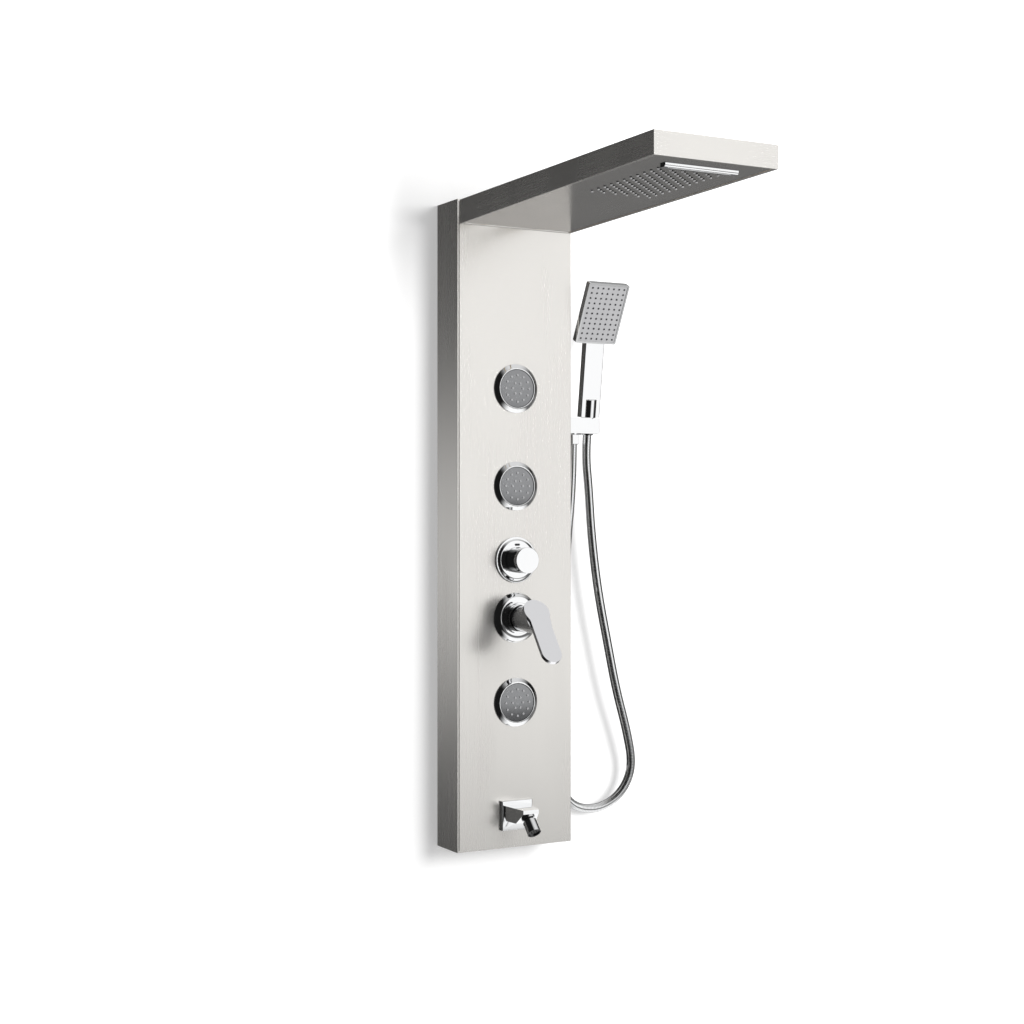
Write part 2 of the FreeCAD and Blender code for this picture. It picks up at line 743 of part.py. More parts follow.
def waterfall_lip():
    half = FALL_WIDTH / 2
    end = FALL_START + FALL_DEPTH
    low = 2 * SHEET
    bar = under_box(half, FALL_START, end, -FALL_DROP, low + MAT / 2)
    lows = [edge for edge in bar.Edges if edge.BoundBox.ZMax < bar.BoundBox.ZMin + FIT]
    bar = bar.makeFillet(FALL_ROUND, [edge for edge in lows if edge.BoundBox.YMax < COVER_FRONT - end + FIT])
    seat = under_box(half + FALL_FLANGE, FALL_START - FALL_FLANGE, end + FALL_FLANGE, low, low + MAT)
    slit_half = half - FALL_SLIT_MARGIN
    slit_start = fall_middle() - FALL_SLIT / 2
    slit = under_box(slit_half, slit_start, slit_start + FALL_SLIT, -FALL_DROP - PAST, low + MAT + PAST)
    return on_underside(joined([bar, seat]).cut(slit))


def arm_bracket():
    half = HALF_WIDTH - SHEET - AIR
    top = HALF_HEIGHT - SHEET - AIR
    y = (FLANGE_BACK, FLANGE_BACK + BRACKET_PLATE)
    plate = box((-half, half), y, (top - BRACKET_DEPTH, top))
    level = HALF_HEIGHT - ARM_PIPE_DROP
    behind = flange_behind() - BRACKET_PLATE - PAST
    cuts = through_holes(arm_bolt_places(), ARM_BOLT_RADIUS + FIT, 0, behind)
    risers = [(-RISER_X, level), (RISER_X, level)]
    cuts += through_holes(risers, PIPE_RADIUS + AIR, 0, behind)
    return joined([plate, bracket_arm(-1), bracket_arm(1)]).cut(cuts)


def arm_bolts():
    bolts = []
    tail = flange_behind() - BRACKET_PLATE - ARM_BOLT_TAIL
    for x, z in arm_bolt_places():
        seat = ahead(SHEET, z, x)
        top = ahead(SHEET + ARM_BOLT_HEAD_HEIGHT, z, x)
        head = rod(ARM_BOLT_HEAD_RADIUS, seat, top)
        bolts.append(joined([head, rod(ARM_BOLT_RADIUS, top, ahead(tail, z, x))]))
    return Part.makeCompound(bolts)


def riser_points(side):
    """Route of a pipe from the diverter up into the arm."""
    start = height(DIVERTER_HEIGHT) + DIVERTER_BLOCK_HALF_Z
    knee = start + PIPE_BEND + PIPE_RUN
    spread = RISER_X - DIVERTER_PORT_X
    level = HALF_HEIGHT - ARM_PIPE_DROP
    return [
        Vector(side * DIVERTER_PORT_X, PIPE_Y, start),
        Vector(side * DIVERTER_PORT_X, PIPE_Y, knee),
        Vector(side * RISER_X, PIPE_Y, knee + spread),
        Vector(side * RISER_X, PIPE_Y, level),
    ]


def arm_pipes():
    level = HALF_HEIGHT - ARM_PIPE_DROP
    rain_stop = RAIN_START - RAIN_CHAMBER_MARGIN - AIR
    rain = riser_points(-1) + [ahead(rain_stop, level, -RISER_X)]
    # The second pipe passes beside the rain chamber and enters the end of the next one.
    bypass = (fall_chamber_half() + COVER_HALF_WIDTH) / 2
    turn = BRACKET_ARM_LENGTH + PIPE_BEND
    fall = riser_points(1) + [
        ahead(turn, level, RISER_X),
        ahead(turn + bypass - RISER_X, level, bypass),
        ahead(fall_middle(), level, bypass),
        ahead(fall_middle(), level, fall_chamber_half() + AIR),
    ]
    return Part.makeCompound([bent_pipe(rain), bent_pipe(fall)])


# ---- body jets ----

def jet_centre_out():
    """Centre of the ball, in front of the cover."""
    return JET_FACE_OUT - JET_FACE_AHEAD


def ball_radius_at(distance, extra=0.0):
    """Radius of the ball, grown by extra, at a distance along the axis from its centre."""
    return math.sqrt((JET_BALL_RADIUS + extra) ** 2 - distance ** 2)


def dome_out(radius):
    """The face is a shallow cap of a large sphere."""
    rim = ball_radius_at(JET_FACE_AHEAD)
    large = (rim ** 2 + JET_FACE_DOME ** 2) / (2 * JET_FACE_DOME)
    return JET_FACE_OUT + JET_FACE_DOME - large + math.sqrt(large ** 2 - radius ** 2)


def jet_ring(origin):
    centre = jet_centre_out()
    lip_out = JET_RING_OUT - JET_LIP_HEIGHT
    lip = ball_radius_at(lip_out - centre, AIR) + JET_LIP_PLAY
    room = JET_BALL_RADIUS + AIR + JET_LIP_PLAY
    seat = jet_flange_radius() + FIT
    floor = JET_FLANGE + FIT
    return turned([
        (seat, 0),
        (JET_RING_RADIUS, 0),
        (JET_RING_RADIUS, JET_RING_EDGE),
        (JET_RING_RADIUS - JET_RING_STEP, JET_RING_EDGE + JET_RING_STEP),
        (lip + JET_LIP_WIDTH, JET_RING_OUT),
        (lip, JET_RING_OUT),
        (lip, lip_out),
        (room, lip_out - JET_LIP_SLOPE),
        (room, floor),
        (seat, floor),
    ], origin)


def jet_flange_radius():
    return JET_RING_RADIUS - JET_RING_SKIRT - FIT


def jet_socket(origin):
    cup = JET_BALL_RADIUS + AIR
    shoulder = seat_rear() - FIT
    floor = -JET_CUP_DEPTH + JET_CUP_WALL
    tail = -JET_CUP_DEPTH - JET_TAIL
    bore = PIPE_RADIUS + FIT
    return turned([
        (cup, JET_FLANGE),
        (jet_flange_radius(), JET_FLANGE),
        (jet_flange_radius(), 0),
        (JET_CUP_OUTER, 0),
        (JET_CUP_OUTER, -JET_CUP_DEPTH),
        (bore + JET_CUP_WALL, -JET_CUP_DEPTH),
        (bore + JET_CUP_WALL, tail),
        (bore, tail),
        (bore, floor),
        (cup - JET_CUP_WALL, floor),
        (cup - JET_CUP_WALL, shoulder),
        (cup, shoulder),
    ], origin)


def seat_front():
    return jet_centre_out() - JET_SEAT_BEHIND


def seat_rear():
    return seat_front() - JET_SEAT_WIDTH


def jet_seat(origin):
    outer = JET_BALL_RADIUS + AIR - JET_SEAT_PLAY
    return turned([
        (ball_radius_at(JET_SEAT_BEHIND, AIR), seat_front()),
        (outer, seat_front()),
        (outer, seat_rear()),
        (ball_radius_at(JET_SEAT_BEHIND + JET_SEAT_WIDTH, AIR), seat_rear()),
    ], origin)


def jet_tip_places():
    """(radius, angle) of every nozzle of a jet."""
    places = []
    for circle, count in ((JET_OUTER_CIRCLE, JET_OUTER_TIPS), (JET_INNER_CIRCLE, JET_INNER_TIPS)):
        places += [(circle, 2 * math.pi * step / count) for step in range(count)]
    return places


def jet_tip_rods(origin, radius, start, beyond):
    rods = []
    for circle, angle in jet_tip_places():
        foot = origin + Vector(circle * math.cos(angle), 0, circle * math.sin(angle))
        end = dome_out(circle) + beyond
        rods.append(rod(radius, foot + OUTWARD * start, foot + OUTWARD * end))
    return rods


def jet_face(origin):
    centre = jet_centre_out()
    back = JET_FACE_OUT - JET_FACE_THICKNESS
    rear = centre - JET_BALL_BEHIND
    rim = ball_radius_at(JET_FACE_AHEAD)
    rear_radius = ball_radius_at(JET_BALL_BEHIND)
    bore = rear_radius - JET_BALL_WALL
    ball = turned([
        (0, back),
        (bore, back),
        (bore, rear),
        (rear_radius, rear),
        (JET_BALL_RADIUS, centre, rim, JET_FACE_OUT),
        (rim / 2, dome_out(rim / 2), 0, dome_out(0)),
    ], origin)
    return ball.cut(jet_tip_rods(origin, JET_TIP_RADIUS + FIT, back - PAST, PAST))


def jet_tips(origin):
    back = JET_FACE_OUT - JET_FACE_THICKNESS
    bore = ball_radius_at(JET_BALL_BEHIND) - JET_BALL_WALL
    mat = rod(bore - FIT, origin + OUTWARD * (back - MAT), origin + OUTWARD * back)
    tips = jet_tip_rods(origin, JET_TIP_RADIUS, back - MAT / 2, JET_TIP_OUT)
    bores = jet_tip_rods(origin, TIP_BORE, back - MAT - PAST, JET_TIP_OUT + PAST)
    return joined([mat] + tips).cut(bores)


def jet_nut(origin):
    start = origin - OUTWARD * SHEET
    return hexagon(JET_NUT_FLATS, JET_CUP_OUTER + FIT, start, start - OUTWARD * JET_NUT_WIDTH)


def jet_origins():
    return [ahead(0, height(jet)) for jet in JET_HEIGHTS]


def jet_pipe():
    """Closed manifold behind the jets, with a branch to each of them and one to the diverter."""
    y = -MANIFOLD_SETBACK
    low = height(min(JET_HEIGHTS)) - 2 * PIPE_RADIUS
    high = height(max(JET_HEIGHTS)) + 2 * PIPE_RADIUS
    wall = MANIFOLD_RADIUS - MANIFOLD_BORE
    outer = [rod(MANIFOLD_RADIUS, Vector(0, y, low), Vector(0, y, high))]
    inner = [rod(MANIFOLD_BORE, Vector(0, y, low + wall), Vector(0, y, high - wall))]
    branches = [(height(jet), COVER_FRONT + JET_CUP_DEPTH - JET_CUP_WALL + AIR) for jet in JET_HEIGHTS]
    branches.append((height(DIVERTER_HEIGHT), COVER_BACK + DIVERTER_BLOCK_DEPTH))
    for level, end in branches:
        outer.append(rod(PIPE_RADIUS, Vector(0, y, level), Vector(0, end, level)))
        inner.append(rod(PIPE_BORE, Vector(0, y, level), Vector(0, end - PAST, level)))
    return joined(outer).cut(joined(inner))


# ---- diverter ----

def diverter_origin():
    return ahead(0, height(DIVERTER_HEIGHT))


def diverter_flange():
    radius = DIVERTER_FLANGE_RADIUS
    step = radius - DIVERTER_RIM_WIDTH
    return turned([
        (DIVERTER_NECK_RADIUS + FIT, 0),
        (radius, 0),
        (radius, DIVERTER_RIM_OUT - DIVERTER_RIM_ROUND),
        (radius - DIVERTER_RIM_ROUND, DIVERTER_RIM_OUT),
        (step, DIVERTER_RIM_OUT),
        (step - DIVERTER_SLOPE_WIDTH, DIVERTER_FLANGE_OUT),
        (DIVERTER_NECK_RADIUS + FIT, DIVERTER_FLANGE_OUT),
    ], diverter_origin())


def diverter_marker():
    low = height(DIVERTER_HEIGHT) + KNOB_RADIUS + MARKER_GAP
    half = MARKER_WIDTH / 2 - MARKER_HEIGHT / 2
    radius = MARKER_HEIGHT / 2
    level = low + radius
    out = (DIVERTER_FLANGE_OUT, DIVERTER_FLANGE_OUT + MARKER_OUT)
    y = (COVER_FRONT - out[1], COVER_FRONT - out[0])
    bar = box((-half, half), y, (low, low + MARKER_HEIGHT))
    ends = [rod(radius, ahead(out[0], level, x), ahead(out[1], level, x)) for x in (-half, half)]
    return joined([bar] + ends)


def diverter_body():
    origin = diverter_origin()
    level = origin.z
    y = (COVER_BACK, COVER_BACK + DIVERTER_BLOCK_DEPTH)
    half_x = DIVERTER_BLOCK_HALF_X
    half_z = DIVERTER_BLOCK_HALF_Z
    block = box((-half_x, half_x), y, (level - half_z, level + half_z))
    neck = rod(DIVERTER_NECK_RADIUS, ahead(-2 * SHEET, level), ahead(DIVERTER_NECK_OUT, level))
    middle = Vector(0, PIPE_Y, level)
    reach = DIVERTER_CAVITY_RADIUS - PIPE_BORE
    cavity_half = DIVERTER_CAVITY_DEPTH / 2
    cuts = [
        rod(DIVERTER_CAVITY_RADIUS, middle - OUTWARD * cavity_half, middle + OUTWARD * cavity_half),
        rod(SPINDLE_RADIUS + RUNNING, middle, ahead(DIVERTER_NECK_OUT + PAST, level)),
        rod(PIPE_BORE, middle, Vector(0, y[1] + PAST, level)),
        rod(PIPE_BORE, middle - ACROSS * (half_x + PAST), middle - ACROSS * reach),
        rod(PIPE_BORE, middle + ACROSS * reach, middle + ACROSS * (half_x + PAST)),
        rod(PIPE_BORE, middle - UPWARD * (half_z + PAST), middle - UPWARD * reach),
    ]
    for side in (-1, 1):
        foot = middle + ACROSS * (side * DIVERTER_PORT_X)
        cuts.append(rod(PIPE_BORE, foot, foot + UPWARD * (half_z + PAST)))
    return joined([block, neck]).cut(cuts)


def diverter_bonnet():
    origin = diverter_origin()
    start = origin + OUTWARD * DIVERTER_FLANGE_OUT
    end = origin + OUTWARD * (DIVERTER_NECK_OUT + BONNET_LID)
    outer = KNOB_RADIUS - KNOB_WALL - AIR
    ring = tube(outer, DIVERTER_NECK_RADIUS + FIT, start, end)
    lid = tube(outer, SPINDLE_RADIUS + AIR, origin + OUTWARD * (DIVERTER_NECK_OUT + FIT), end)
    return joined([ring, lid])


def diverter_spindle():
    origin = diverter_origin()
    middle = Vector(0, PIPE_Y, origin.z)
    half = DIVERTER_PLATE / 2
    plate = rod(DIVERTER_CAVITY_RADIUS - AIR, middle - OUTWARD * half, middle + OUTWARD * half)
    stem = rod(SPINDLE_RADIUS, middle, origin + OUTWARD * (knob_front() - KNOB_BLIND))
    return joined([plate, stem])


def knob_front():
    """Front of the knob's own shell, behind the groove and the cap."""
    return KNOB_OUT - KNOB_CAP - KNOB_GROOVE


def diverter_knob():
    bore = SPINDLE_RADIUS + RUNNING
    start = DIVERTER_FLANGE_OUT + KNOB_LIFT
    front = knob_front()
    web = front - KNOB_WEB
    inner = KNOB_RADIUS - KNOB_WALL
    hub_start = DIVERTER_NECK_OUT + BONNET_LID + KNOB_HUB_LIFT
    hub_end = front - KNOB_BLIND + FIT
    hub = bore + KNOB_HUB_WALL
    return turned([
        (inner, start),
        (KNOB_RADIUS, start),
        (KNOB_RADIUS, front),
        (0, front),
        (0, hub_end),
        (bore, hub_end),
        (bore, hub_start),
        (hub, hub_start),
        (hub, web),
        (inner, web),
    ], diverter_origin())


def knob_cap():
    front = KNOB_OUT
    back = KNOB_OUT - KNOB_CAP
    return turned([
        (0, knob_front()),
        (KNOB_RADIUS - KNOB_CAP_STEP, knob_front()),
        (KNOB_RADIUS - KNOB_CAP_STEP, back),
        (KNOB_RADIUS, back),
        (KNOB_RADIUS, front - KNOB_EDGE),
        (KNOB_RADIUS - KNOB_EDGE, front),
        (0, front),
    ], diverter_origin())


# ---- mixer ----

def mixer_origin():
    return ahead(0, height(MIXER_HEIGHT))


def mixer_flange():
    radius = MIXER_FLANGE_RADIUS
    bore = MIXER_NECK_RADIUS + FIT
    top = MIXER_FLANGE_OUT
    shoulder = MIXER_COLLAR_RADIUS + MIXER_SHOULDER
    middle = (radius + shoulder) / 2 + MIXER_DOME_SHIFT
    return turned([
        (bore, 0),
        (radius, 0),
        (radius, MIXER_RIM_OUT),
        (radius - MIXER_RIM_STEP_IN, MIXER_RIM_OUT + MIXER_RIM_STEP_UP),
        (middle, MIXER_DOME_OUT, shoulder, top),
        (bore, top),
    ], mixer_origin())


def mixer_body():
    origin = mixer_origin()
    level = origin.z
    y = (COVER_BACK, COVER_BACK + MIXER_BLOCK_DEPTH)
    half_x = MIXER_BLOCK_HALF_X
    half_z = MIXER_BLOCK_HALF_Z
    block = box((-half_x, half_x), y, (level - half_z, level + half_z))
    neck = rod(MIXER_NECK_RADIUS, ahead(-2 * SHEET, level), ahead(MIXER_NECK_OUT, level))
    mouth = ahead(MIXER_NECK_OUT + PAST, level)
    seat = rod(CARTRIDGE_RADIUS + FIT, ahead(-CARTRIDGE_DEPTH, level), mouth)
    middle = Vector(0, PIPE_Y, level)
    cuts = [seat, rod(PIPE_BORE, middle, middle + UPWARD * (half_z + PAST))]
    for side in (-1, 1):
        foot = middle + ACROSS * (side * INLET_SPACING / 2)
        cuts.append(rod(INLET_BORE, foot, foot - UPWARD * (half_z + PAST)))
        cuts.append(rod(PIPE_BORE, middle, foot))
    return joined([block, neck]).cut(cuts)


def mixer_cartridge():
    origin = mixer_origin()
    rear = origin - OUTWARD * (CARTRIDGE_DEPTH - FIT)
    front = origin + OUTWARD * (MIXER_NECK_OUT - FIT)
    socket = rod(SWIVEL_NECK_RADIUS + RUNNING, front - OUTWARD * CARTRIDGE_SOCKET, front + OUTWARD)
    return rod(CARTRIDGE_RADIUS, rear, front).cut(socket)


def mixer_collar():
    """Stepped nut that holds the flange and the cartridge on the body's neck."""
    return turned([
        (MIXER_NECK_RADIUS + FIT, MIXER_FLANGE_OUT),
        (MIXER_COLLAR_RADIUS, MIXER_FLANGE_OUT),
        (MIXER_COLLAR_RADIUS, MIXER_COLLAR_OUT - MIXER_COLLAR_EDGE),
        (MIXER_COLLAR_RADIUS - MIXER_COLLAR_EDGE, MIXER_COLLAR_OUT),
        (MIXER_TRIM_RADIUS - MIXER_GROOVE, MIXER_COLLAR_OUT),
        (MIXER_TRIM_RADIUS - MIXER_GROOVE, MIXER_COLLAR_OUT + MIXER_GROOVE),
        (MIXER_TRIM_RADIUS, MIXER_COLLAR_OUT + MIXER_GROOVE),
        (MIXER_TRIM_RADIUS, MIXER_TRIM_OUT),
        (SWIVEL_NECK_RADIUS + RUNNING, MIXER_TRIM_OUT),
        (SWIVEL_NECK_RADIUS + RUNNING, MIXER_NECK_OUT + FIT),
        (MIXER_NECK_RADIUS + FIT, MIXER_NECK_OUT + FIT),
    ], mixer_origin())


def lever_pivot():
    return mixer_origin() + OUTWARD * LEVER_PIVOT_OUT


def mixer_swivel():
    """Ball that turns for the temperature and carries the lever's pin."""
    pivot = lever_pivot()
    origin = mixer_origin()
    rear = MIXER_TRIM_OUT + AIR
    ball = Part.makeSphere(SWIVEL_RADIUS, pivot)
    reach = 2 * SWIVEL_RADIUS
    ball = ball.cut(rod(reach, origin + OUTWARD * (rear - reach), origin + OUTWARD * rear))
    neck_end = origin + OUTWARD * (MIXER_NECK_OUT - FIT - CARTRIDGE_SOCKET + SWIVEL_END_PLAY)
    neck = rod(SWIVEL_NECK_RADIUS, neck_end, pivot)
    pin = rod(LEVER_PIN_RADIUS + RUNNING, pivot - ACROSS * reach, pivot + ACROSS * reach)
    return joined([ball, neck]).cut(pin)


def lever_pin():
    pivot = lever_pivot()
    half = LEVER_HUB_RADIUS - AIR
    return rod(LEVER_PIN_RADIUS, pivot - ACROSS * half, pivot + ACROSS * half)


def lever_blade():
    """Flat blade of the lever: a round head, a waist and a paddle with a round tip."""
    lean = math.radians(LEVER_LEAN)
    down = Vector(0, -math.sin(lean), -math.cos(lean))
    normal = Vector(0, -math.cos(lean), math.sin(lean))
    head = mixer_origin() + OUTWARD * LEVER_HEAD_OUT + UPWARD * LEVER_HEAD_RISE
    back = head - normal * LEVER_THICKNESS
    big = LEVER_HEAD_RADIUS
    half = LEVER_HALF_WIDTH
    waist = LEVER_WAIST_RADIUS
    # The waist's arc touches the head's circle and the paddle's straight side.
    waist_down = math.sqrt((big + waist) ** 2 - (half + waist) ** 2)
    share = big / (big + waist)
    touch = ((half + waist) * share, waist_down * share)
    bisect = math.atan2(waist_down, half + waist) / 2
    between = (half + waist - waist * math.cos(bisect), waist_down - waist * math.sin(bisect))
    tip_start = LEVER_LENGTH - half
    outline = [
        (-half, waist_down),
        (-between[0], between[1], -touch[0], touch[1]),
        (0, -big, touch[0], touch[1]),
        (between[0], between[1], half, waist_down),
        (half, tip_start),
        (0, LEVER_LENGTH, -half, tip_start),
    ]
    face = face_of(outline, lambda x, along: back + ACROSS * x + down * along)
    return face.extrude(normal * LEVER_THICKNESS), back, normal


def mixer_lever():
    origin = mixer_origin()
    blade, back, normal = lever_blade()
    far = LEVER_HEAD_OUT + LEVER_LENGTH
    hub_end = origin + OUTWARD * far
    hub = rod(LEVER_HUB_RADIUS, origin + OUTWARD * LEVER_SKIRT_LOW, hub_end)
    # The hub stops inside the blade.
    stop = back + normal * (LEVER_THICKNESS / 2)
    size = 3 * far
    beyond = Part.makeBox(size, size, size, Vector(-size / 2, -size / 2, 0))
    beyond.Placement = Placement(stop, Rotation(UPWARD, normal))
    hub = hub.cut(beyond)
    # The skirt's rear edge is slanted, so that the lever can rise.
    reach = 2 * LEVER_HUB_RADIUS
    edge = LEVER_HUB_RADIUS + PAST
    skirt = face_of([
        (0, -edge),
        (LEVER_SKIRT_LOW, -edge),
        (LEVER_SKIRT_HIGH, edge),
        (0, edge),
    ], lambda out, z: origin + OUTWARD * out + UPWARD * z - ACROSS * reach)
    skirt = skirt.extrude(ACROSS * (2 * reach))
    pivot = lever_pivot()
    room = rod(SWIVEL_RADIUS + AIR, origin, pivot + OUTWARD * (SWIVEL_RADIUS + 2 * AIR))
    pin = rod(LEVER_PIN_RADIUS + RUNNING, pivot - ACROSS * reach, pivot + ACROSS * reach)
    return joined([blade, hub]).cut([skirt, room, pin])


def inlet_nipples():
    top = height(MIXER_HEIGHT) - MIXER_BLOCK_HALF_Z
    nipples = []
    for side in (-1, 1):
        start = Vector(side * INLET_SPACING / 2, PIPE_Y, top)
        collar_end = start - UPWARD * INLET_COLLAR_HEIGHT
        end = collar_end - UPWARD * INLET_LENGTH
        collar = hexagon(INLET_COLLAR_FLATS, INLET_BORE, start, collar_end)
        nipples.append(joined([collar, tube(INLET_RADIUS, INLET_BORE, start, end)]))
    return Part.makeCompound(nipples)


def mixer_link():
    low = height(MIXER_HEIGHT) + MIXER_BLOCK_HALF_Z
    high = height(DIVERTER_HEIGHT) - DIVERTER_BLOCK_HALF_Z
    return tube(PIPE_RADIUS, PIPE_BORE, Vector(0, PIPE_Y, low), Vector(0, PIPE_Y, high))


# ---- spout ----

def spout_level():
    return height(SPOUT_HEIGHT)


def spout_plate():
    half = SPOUT_PLATE_WIDTH / 2
    rise = SPOUT_PLATE_HEIGHT / 2
    level = spout_level()
    y = (COVER_FRONT - SPOUT_PLATE_OUT, COVER_FRONT)
    plate = box((-half, half), y, (level - rise, level + rise))
    rims = [edge for edge in plate.Edges if edge.BoundBox.YMax < (y[0] + y[1]) / 2]
    plate = plate.makeChamfer(SPOUT_PLATE_CHAMFER, rims)
    return plate.cut(rod(TAIL_RADIUS + FIT, ahead(-PAST, level), ahead(SPOUT_PLATE_OUT + PAST, level)))


def aerator_seat():
    """Middle of the spout's slanted end face, and the direction that it looks in."""
    run = SPOUT_REACH - SPOUT_CREASE_OUT
    rise = SPOUT_NOSE_UNDER - SPOUT_UNDER
    length = math.hypot(run, rise)
    middle_out = (SPOUT_REACH + SPOUT_CREASE_OUT) / 2
    middle_z = spout_level() + (SPOUT_NOSE_UNDER + SPOUT_UNDER) / 2
    return ahead(middle_out, middle_z), Vector(0, -rise / length, -run / length)


def spout_block_half():
    """Half the side of the block at the end of the spout's tail."""
    return TAIL_RADIUS + TAIL_BLOCK_WALL


def spout_body():
    level = spout_level()
    plate = SPOUT_PLATE_OUT
    side = side_prism([
        (plate, level + SPOUT_TOP),
        (SPOUT_REACH, level + SPOUT_TOP - SPOUT_TOP_FALL),
        (SPOUT_REACH, level + SPOUT_NOSE_UNDER),
        (SPOUT_CREASE_OUT, level + SPOUT_UNDER),
        (plate + SPOUT_HEEL, level + SPOUT_UNDER + SPOUT_BELLY_RISE),
        (plate, level + SPOUT_UNDER + SPOUT_HEEL_RISE),
    ], SPOUT_ROOT_WIDTH / 2)
    low = level - SPOUT_PLATE_HEIGHT

    def plan(x, out):
        return Vector(x, COVER_FRONT - out, low)

    corners = [
        (-SPOUT_ROOT_WIDTH / 2, plate),
        (SPOUT_ROOT_WIDTH / 2, plate),
        (SPOUT_NOSE_WIDTH / 2, SPOUT_REACH),
        (-SPOUT_NOSE_WIDTH / 2, SPOUT_REACH),
    ]
    tapered = side.common(face_of(corners, plan).extrude(UPWARD * (2 * SPOUT_PLATE_HEIGHT)))
    tail_end = Vector(0, PIPE_Y, level)
    tail = rod(TAIL_RADIUS, tail_end, ahead(plate + SPOUT_HEEL / 2, level))
    half = spout_block_half()
    block_y = (PIPE_Y - half, PIPE_Y + half)
    block = box((-half, half), block_y, (level - half, level + half))
    seat, way = aerator_seat()
    inner_end = ahead(SPOUT_CREASE_OUT + PIPE_BORE, level)
    cuts = [
        rod(PIPE_BORE, tail_end, inner_end),
        rod(PIPE_BORE, Vector(-half - PAST, PIPE_Y, level), tail_end),
        rod(AERATOR_NECK_RADIUS + FIT, seat - way * AERATOR_THREAD, seat + way * PAST),
        rod(PIPE_BORE, inner_end, seat),
    ]
    return joined([tapered, tail, block]).cut(cuts)


def tail_nuts():
    """Nuts behind the cover and inside the housing's side, on the spout's and holder's tails."""
    bore = TAIL_RADIUS + FIT
    spout_start = ahead(-SHEET, spout_level())
    spout_end = ahead(-SHEET - TAIL_NUT_WIDTH, spout_level())
    holder_end = holder_place(-SHEET - TAIL_NUT_WIDTH)
    return Part.makeCompound([
        hexagon(TAIL_NUT_FLATS, bore, spout_start, spout_end),
        hexagon(TAIL_NUT_FLATS, bore, holder_place(-SHEET), holder_end),
    ])


def spout_pipe():
    start = height(DIVERTER_HEIGHT)
    return bent_pipe([
        Vector(-DIVERTER_BLOCK_HALF_X, PIPE_Y, start),
        Vector(-SPOUT_PIPE_X, PIPE_Y, start),
        Vector(-SPOUT_PIPE_X, PIPE_Y, spout_level()),
        Vector(-spout_block_half(), PIPE_Y, spout_level()),
    ])


def aerator_centre():
    seat, way = aerator_seat()
    return seat + way * AERATOR_BALL_OUT


def aerator_ball():
    seat, way = aerator_seat()
    neck = rod(AERATOR_NECK_RADIUS, seat - way * (AERATOR_THREAD - FIT), aerator_centre())
    waterway = rod(PIPE_BORE, seat - way * AERATOR_THREAD, seat + way * AERATOR_LENGTH)
    return joined([Part.makeSphere(AERATOR_BALL_RADIUS, aerator_centre()), neck]).cut(waterway)


def aerator_collar():
    seat, way = aerator_seat()
    bore = AERATOR_NECK_RADIUS + AERATOR_COLLAR_PLAY
    return tube(AERATOR_RADIUS, bore, seat + way * (2 * FIT), seat + way * AERATOR_COLLAR)


def aerator_shell():
    seat, way = aerator_seat()
    start = AERATOR_BALL_OUT - AERATOR_LAP
    cup = AERATOR_BALL_RADIUS + AIR - FIT
    cup_end = AERATOR_BALL_OUT + AERATOR_BALL_RADIUS + AIR
    screen = AERATOR_LENGTH - AERATOR_RECESS
    mouth = AERATOR_RADIUS - AERATOR_WALL
    shell = turned([
        (cup, start),
        (AERATOR_RADIUS, start),
        (AERATOR_RADIUS, AERATOR_LENGTH),
        (mouth, AERATOR_LENGTH),
        (mouth, screen),
        (0, screen),
        (0, cup_end),
        (cup, cup_end),
    ], seat, way)
    other = way.cross(ACROSS)
    holes = []
    for ring, count in ((0, 1), (AERATOR_HOLE_CIRCLE, AERATOR_HOLES)):
        for step in range(count):
            turn = 2 * math.pi * step / count
            foot = seat + ACROSS * (ring * math.cos(turn)) + other * (ring * math.sin(turn))
            start = foot + way * (cup_end - PAST)
            holes.append(rod(AERATOR_HOLE_RADIUS, start, foot + way * (screen + PAST)))
    return shell.cut(holes)


# ---- holder, outlet and hand shower ----

def holder_place(out_of_side):
    """Point on the axis of the holder's stub, at a distance beyond the side of the column."""
    return Vector(HALF_WIDTH + out_of_side, PIPE_Y, height(HOLDER_HEIGHT))


def cradle_place():
    y = COVER_FRONT + CRADLE_SETBACK
    return Vector(HALF_WIDTH + CRADLE_OFFSET, y, height(HOLDER_HEIGHT))


def in_cradle(shape):
    """Puts a shape, drawn upright about the origin, on the cradle's leaning axis."""
    shape.rotate(Vector(0, 0, 0), ACROSS, HANDSET_LEAN)
    shape.translate(cradle_place())
    return shape


def cone_radius(along):
    share = (along - CONE_END) / (CONE_TOP - CONE_END)
    return CONE_END_RADIUS + (CONE_TOP_RADIUS - CONE_END_RADIUS) * share


def outlet_place(level):
    return Vector(HALF_WIDTH + OUTLET_OFFSET, COVER_FRONT + OUTLET_SETBACK, level)


def holder_low():
    return height(HOLDER_HEIGHT) - HOLDER_THICKNESS / 2


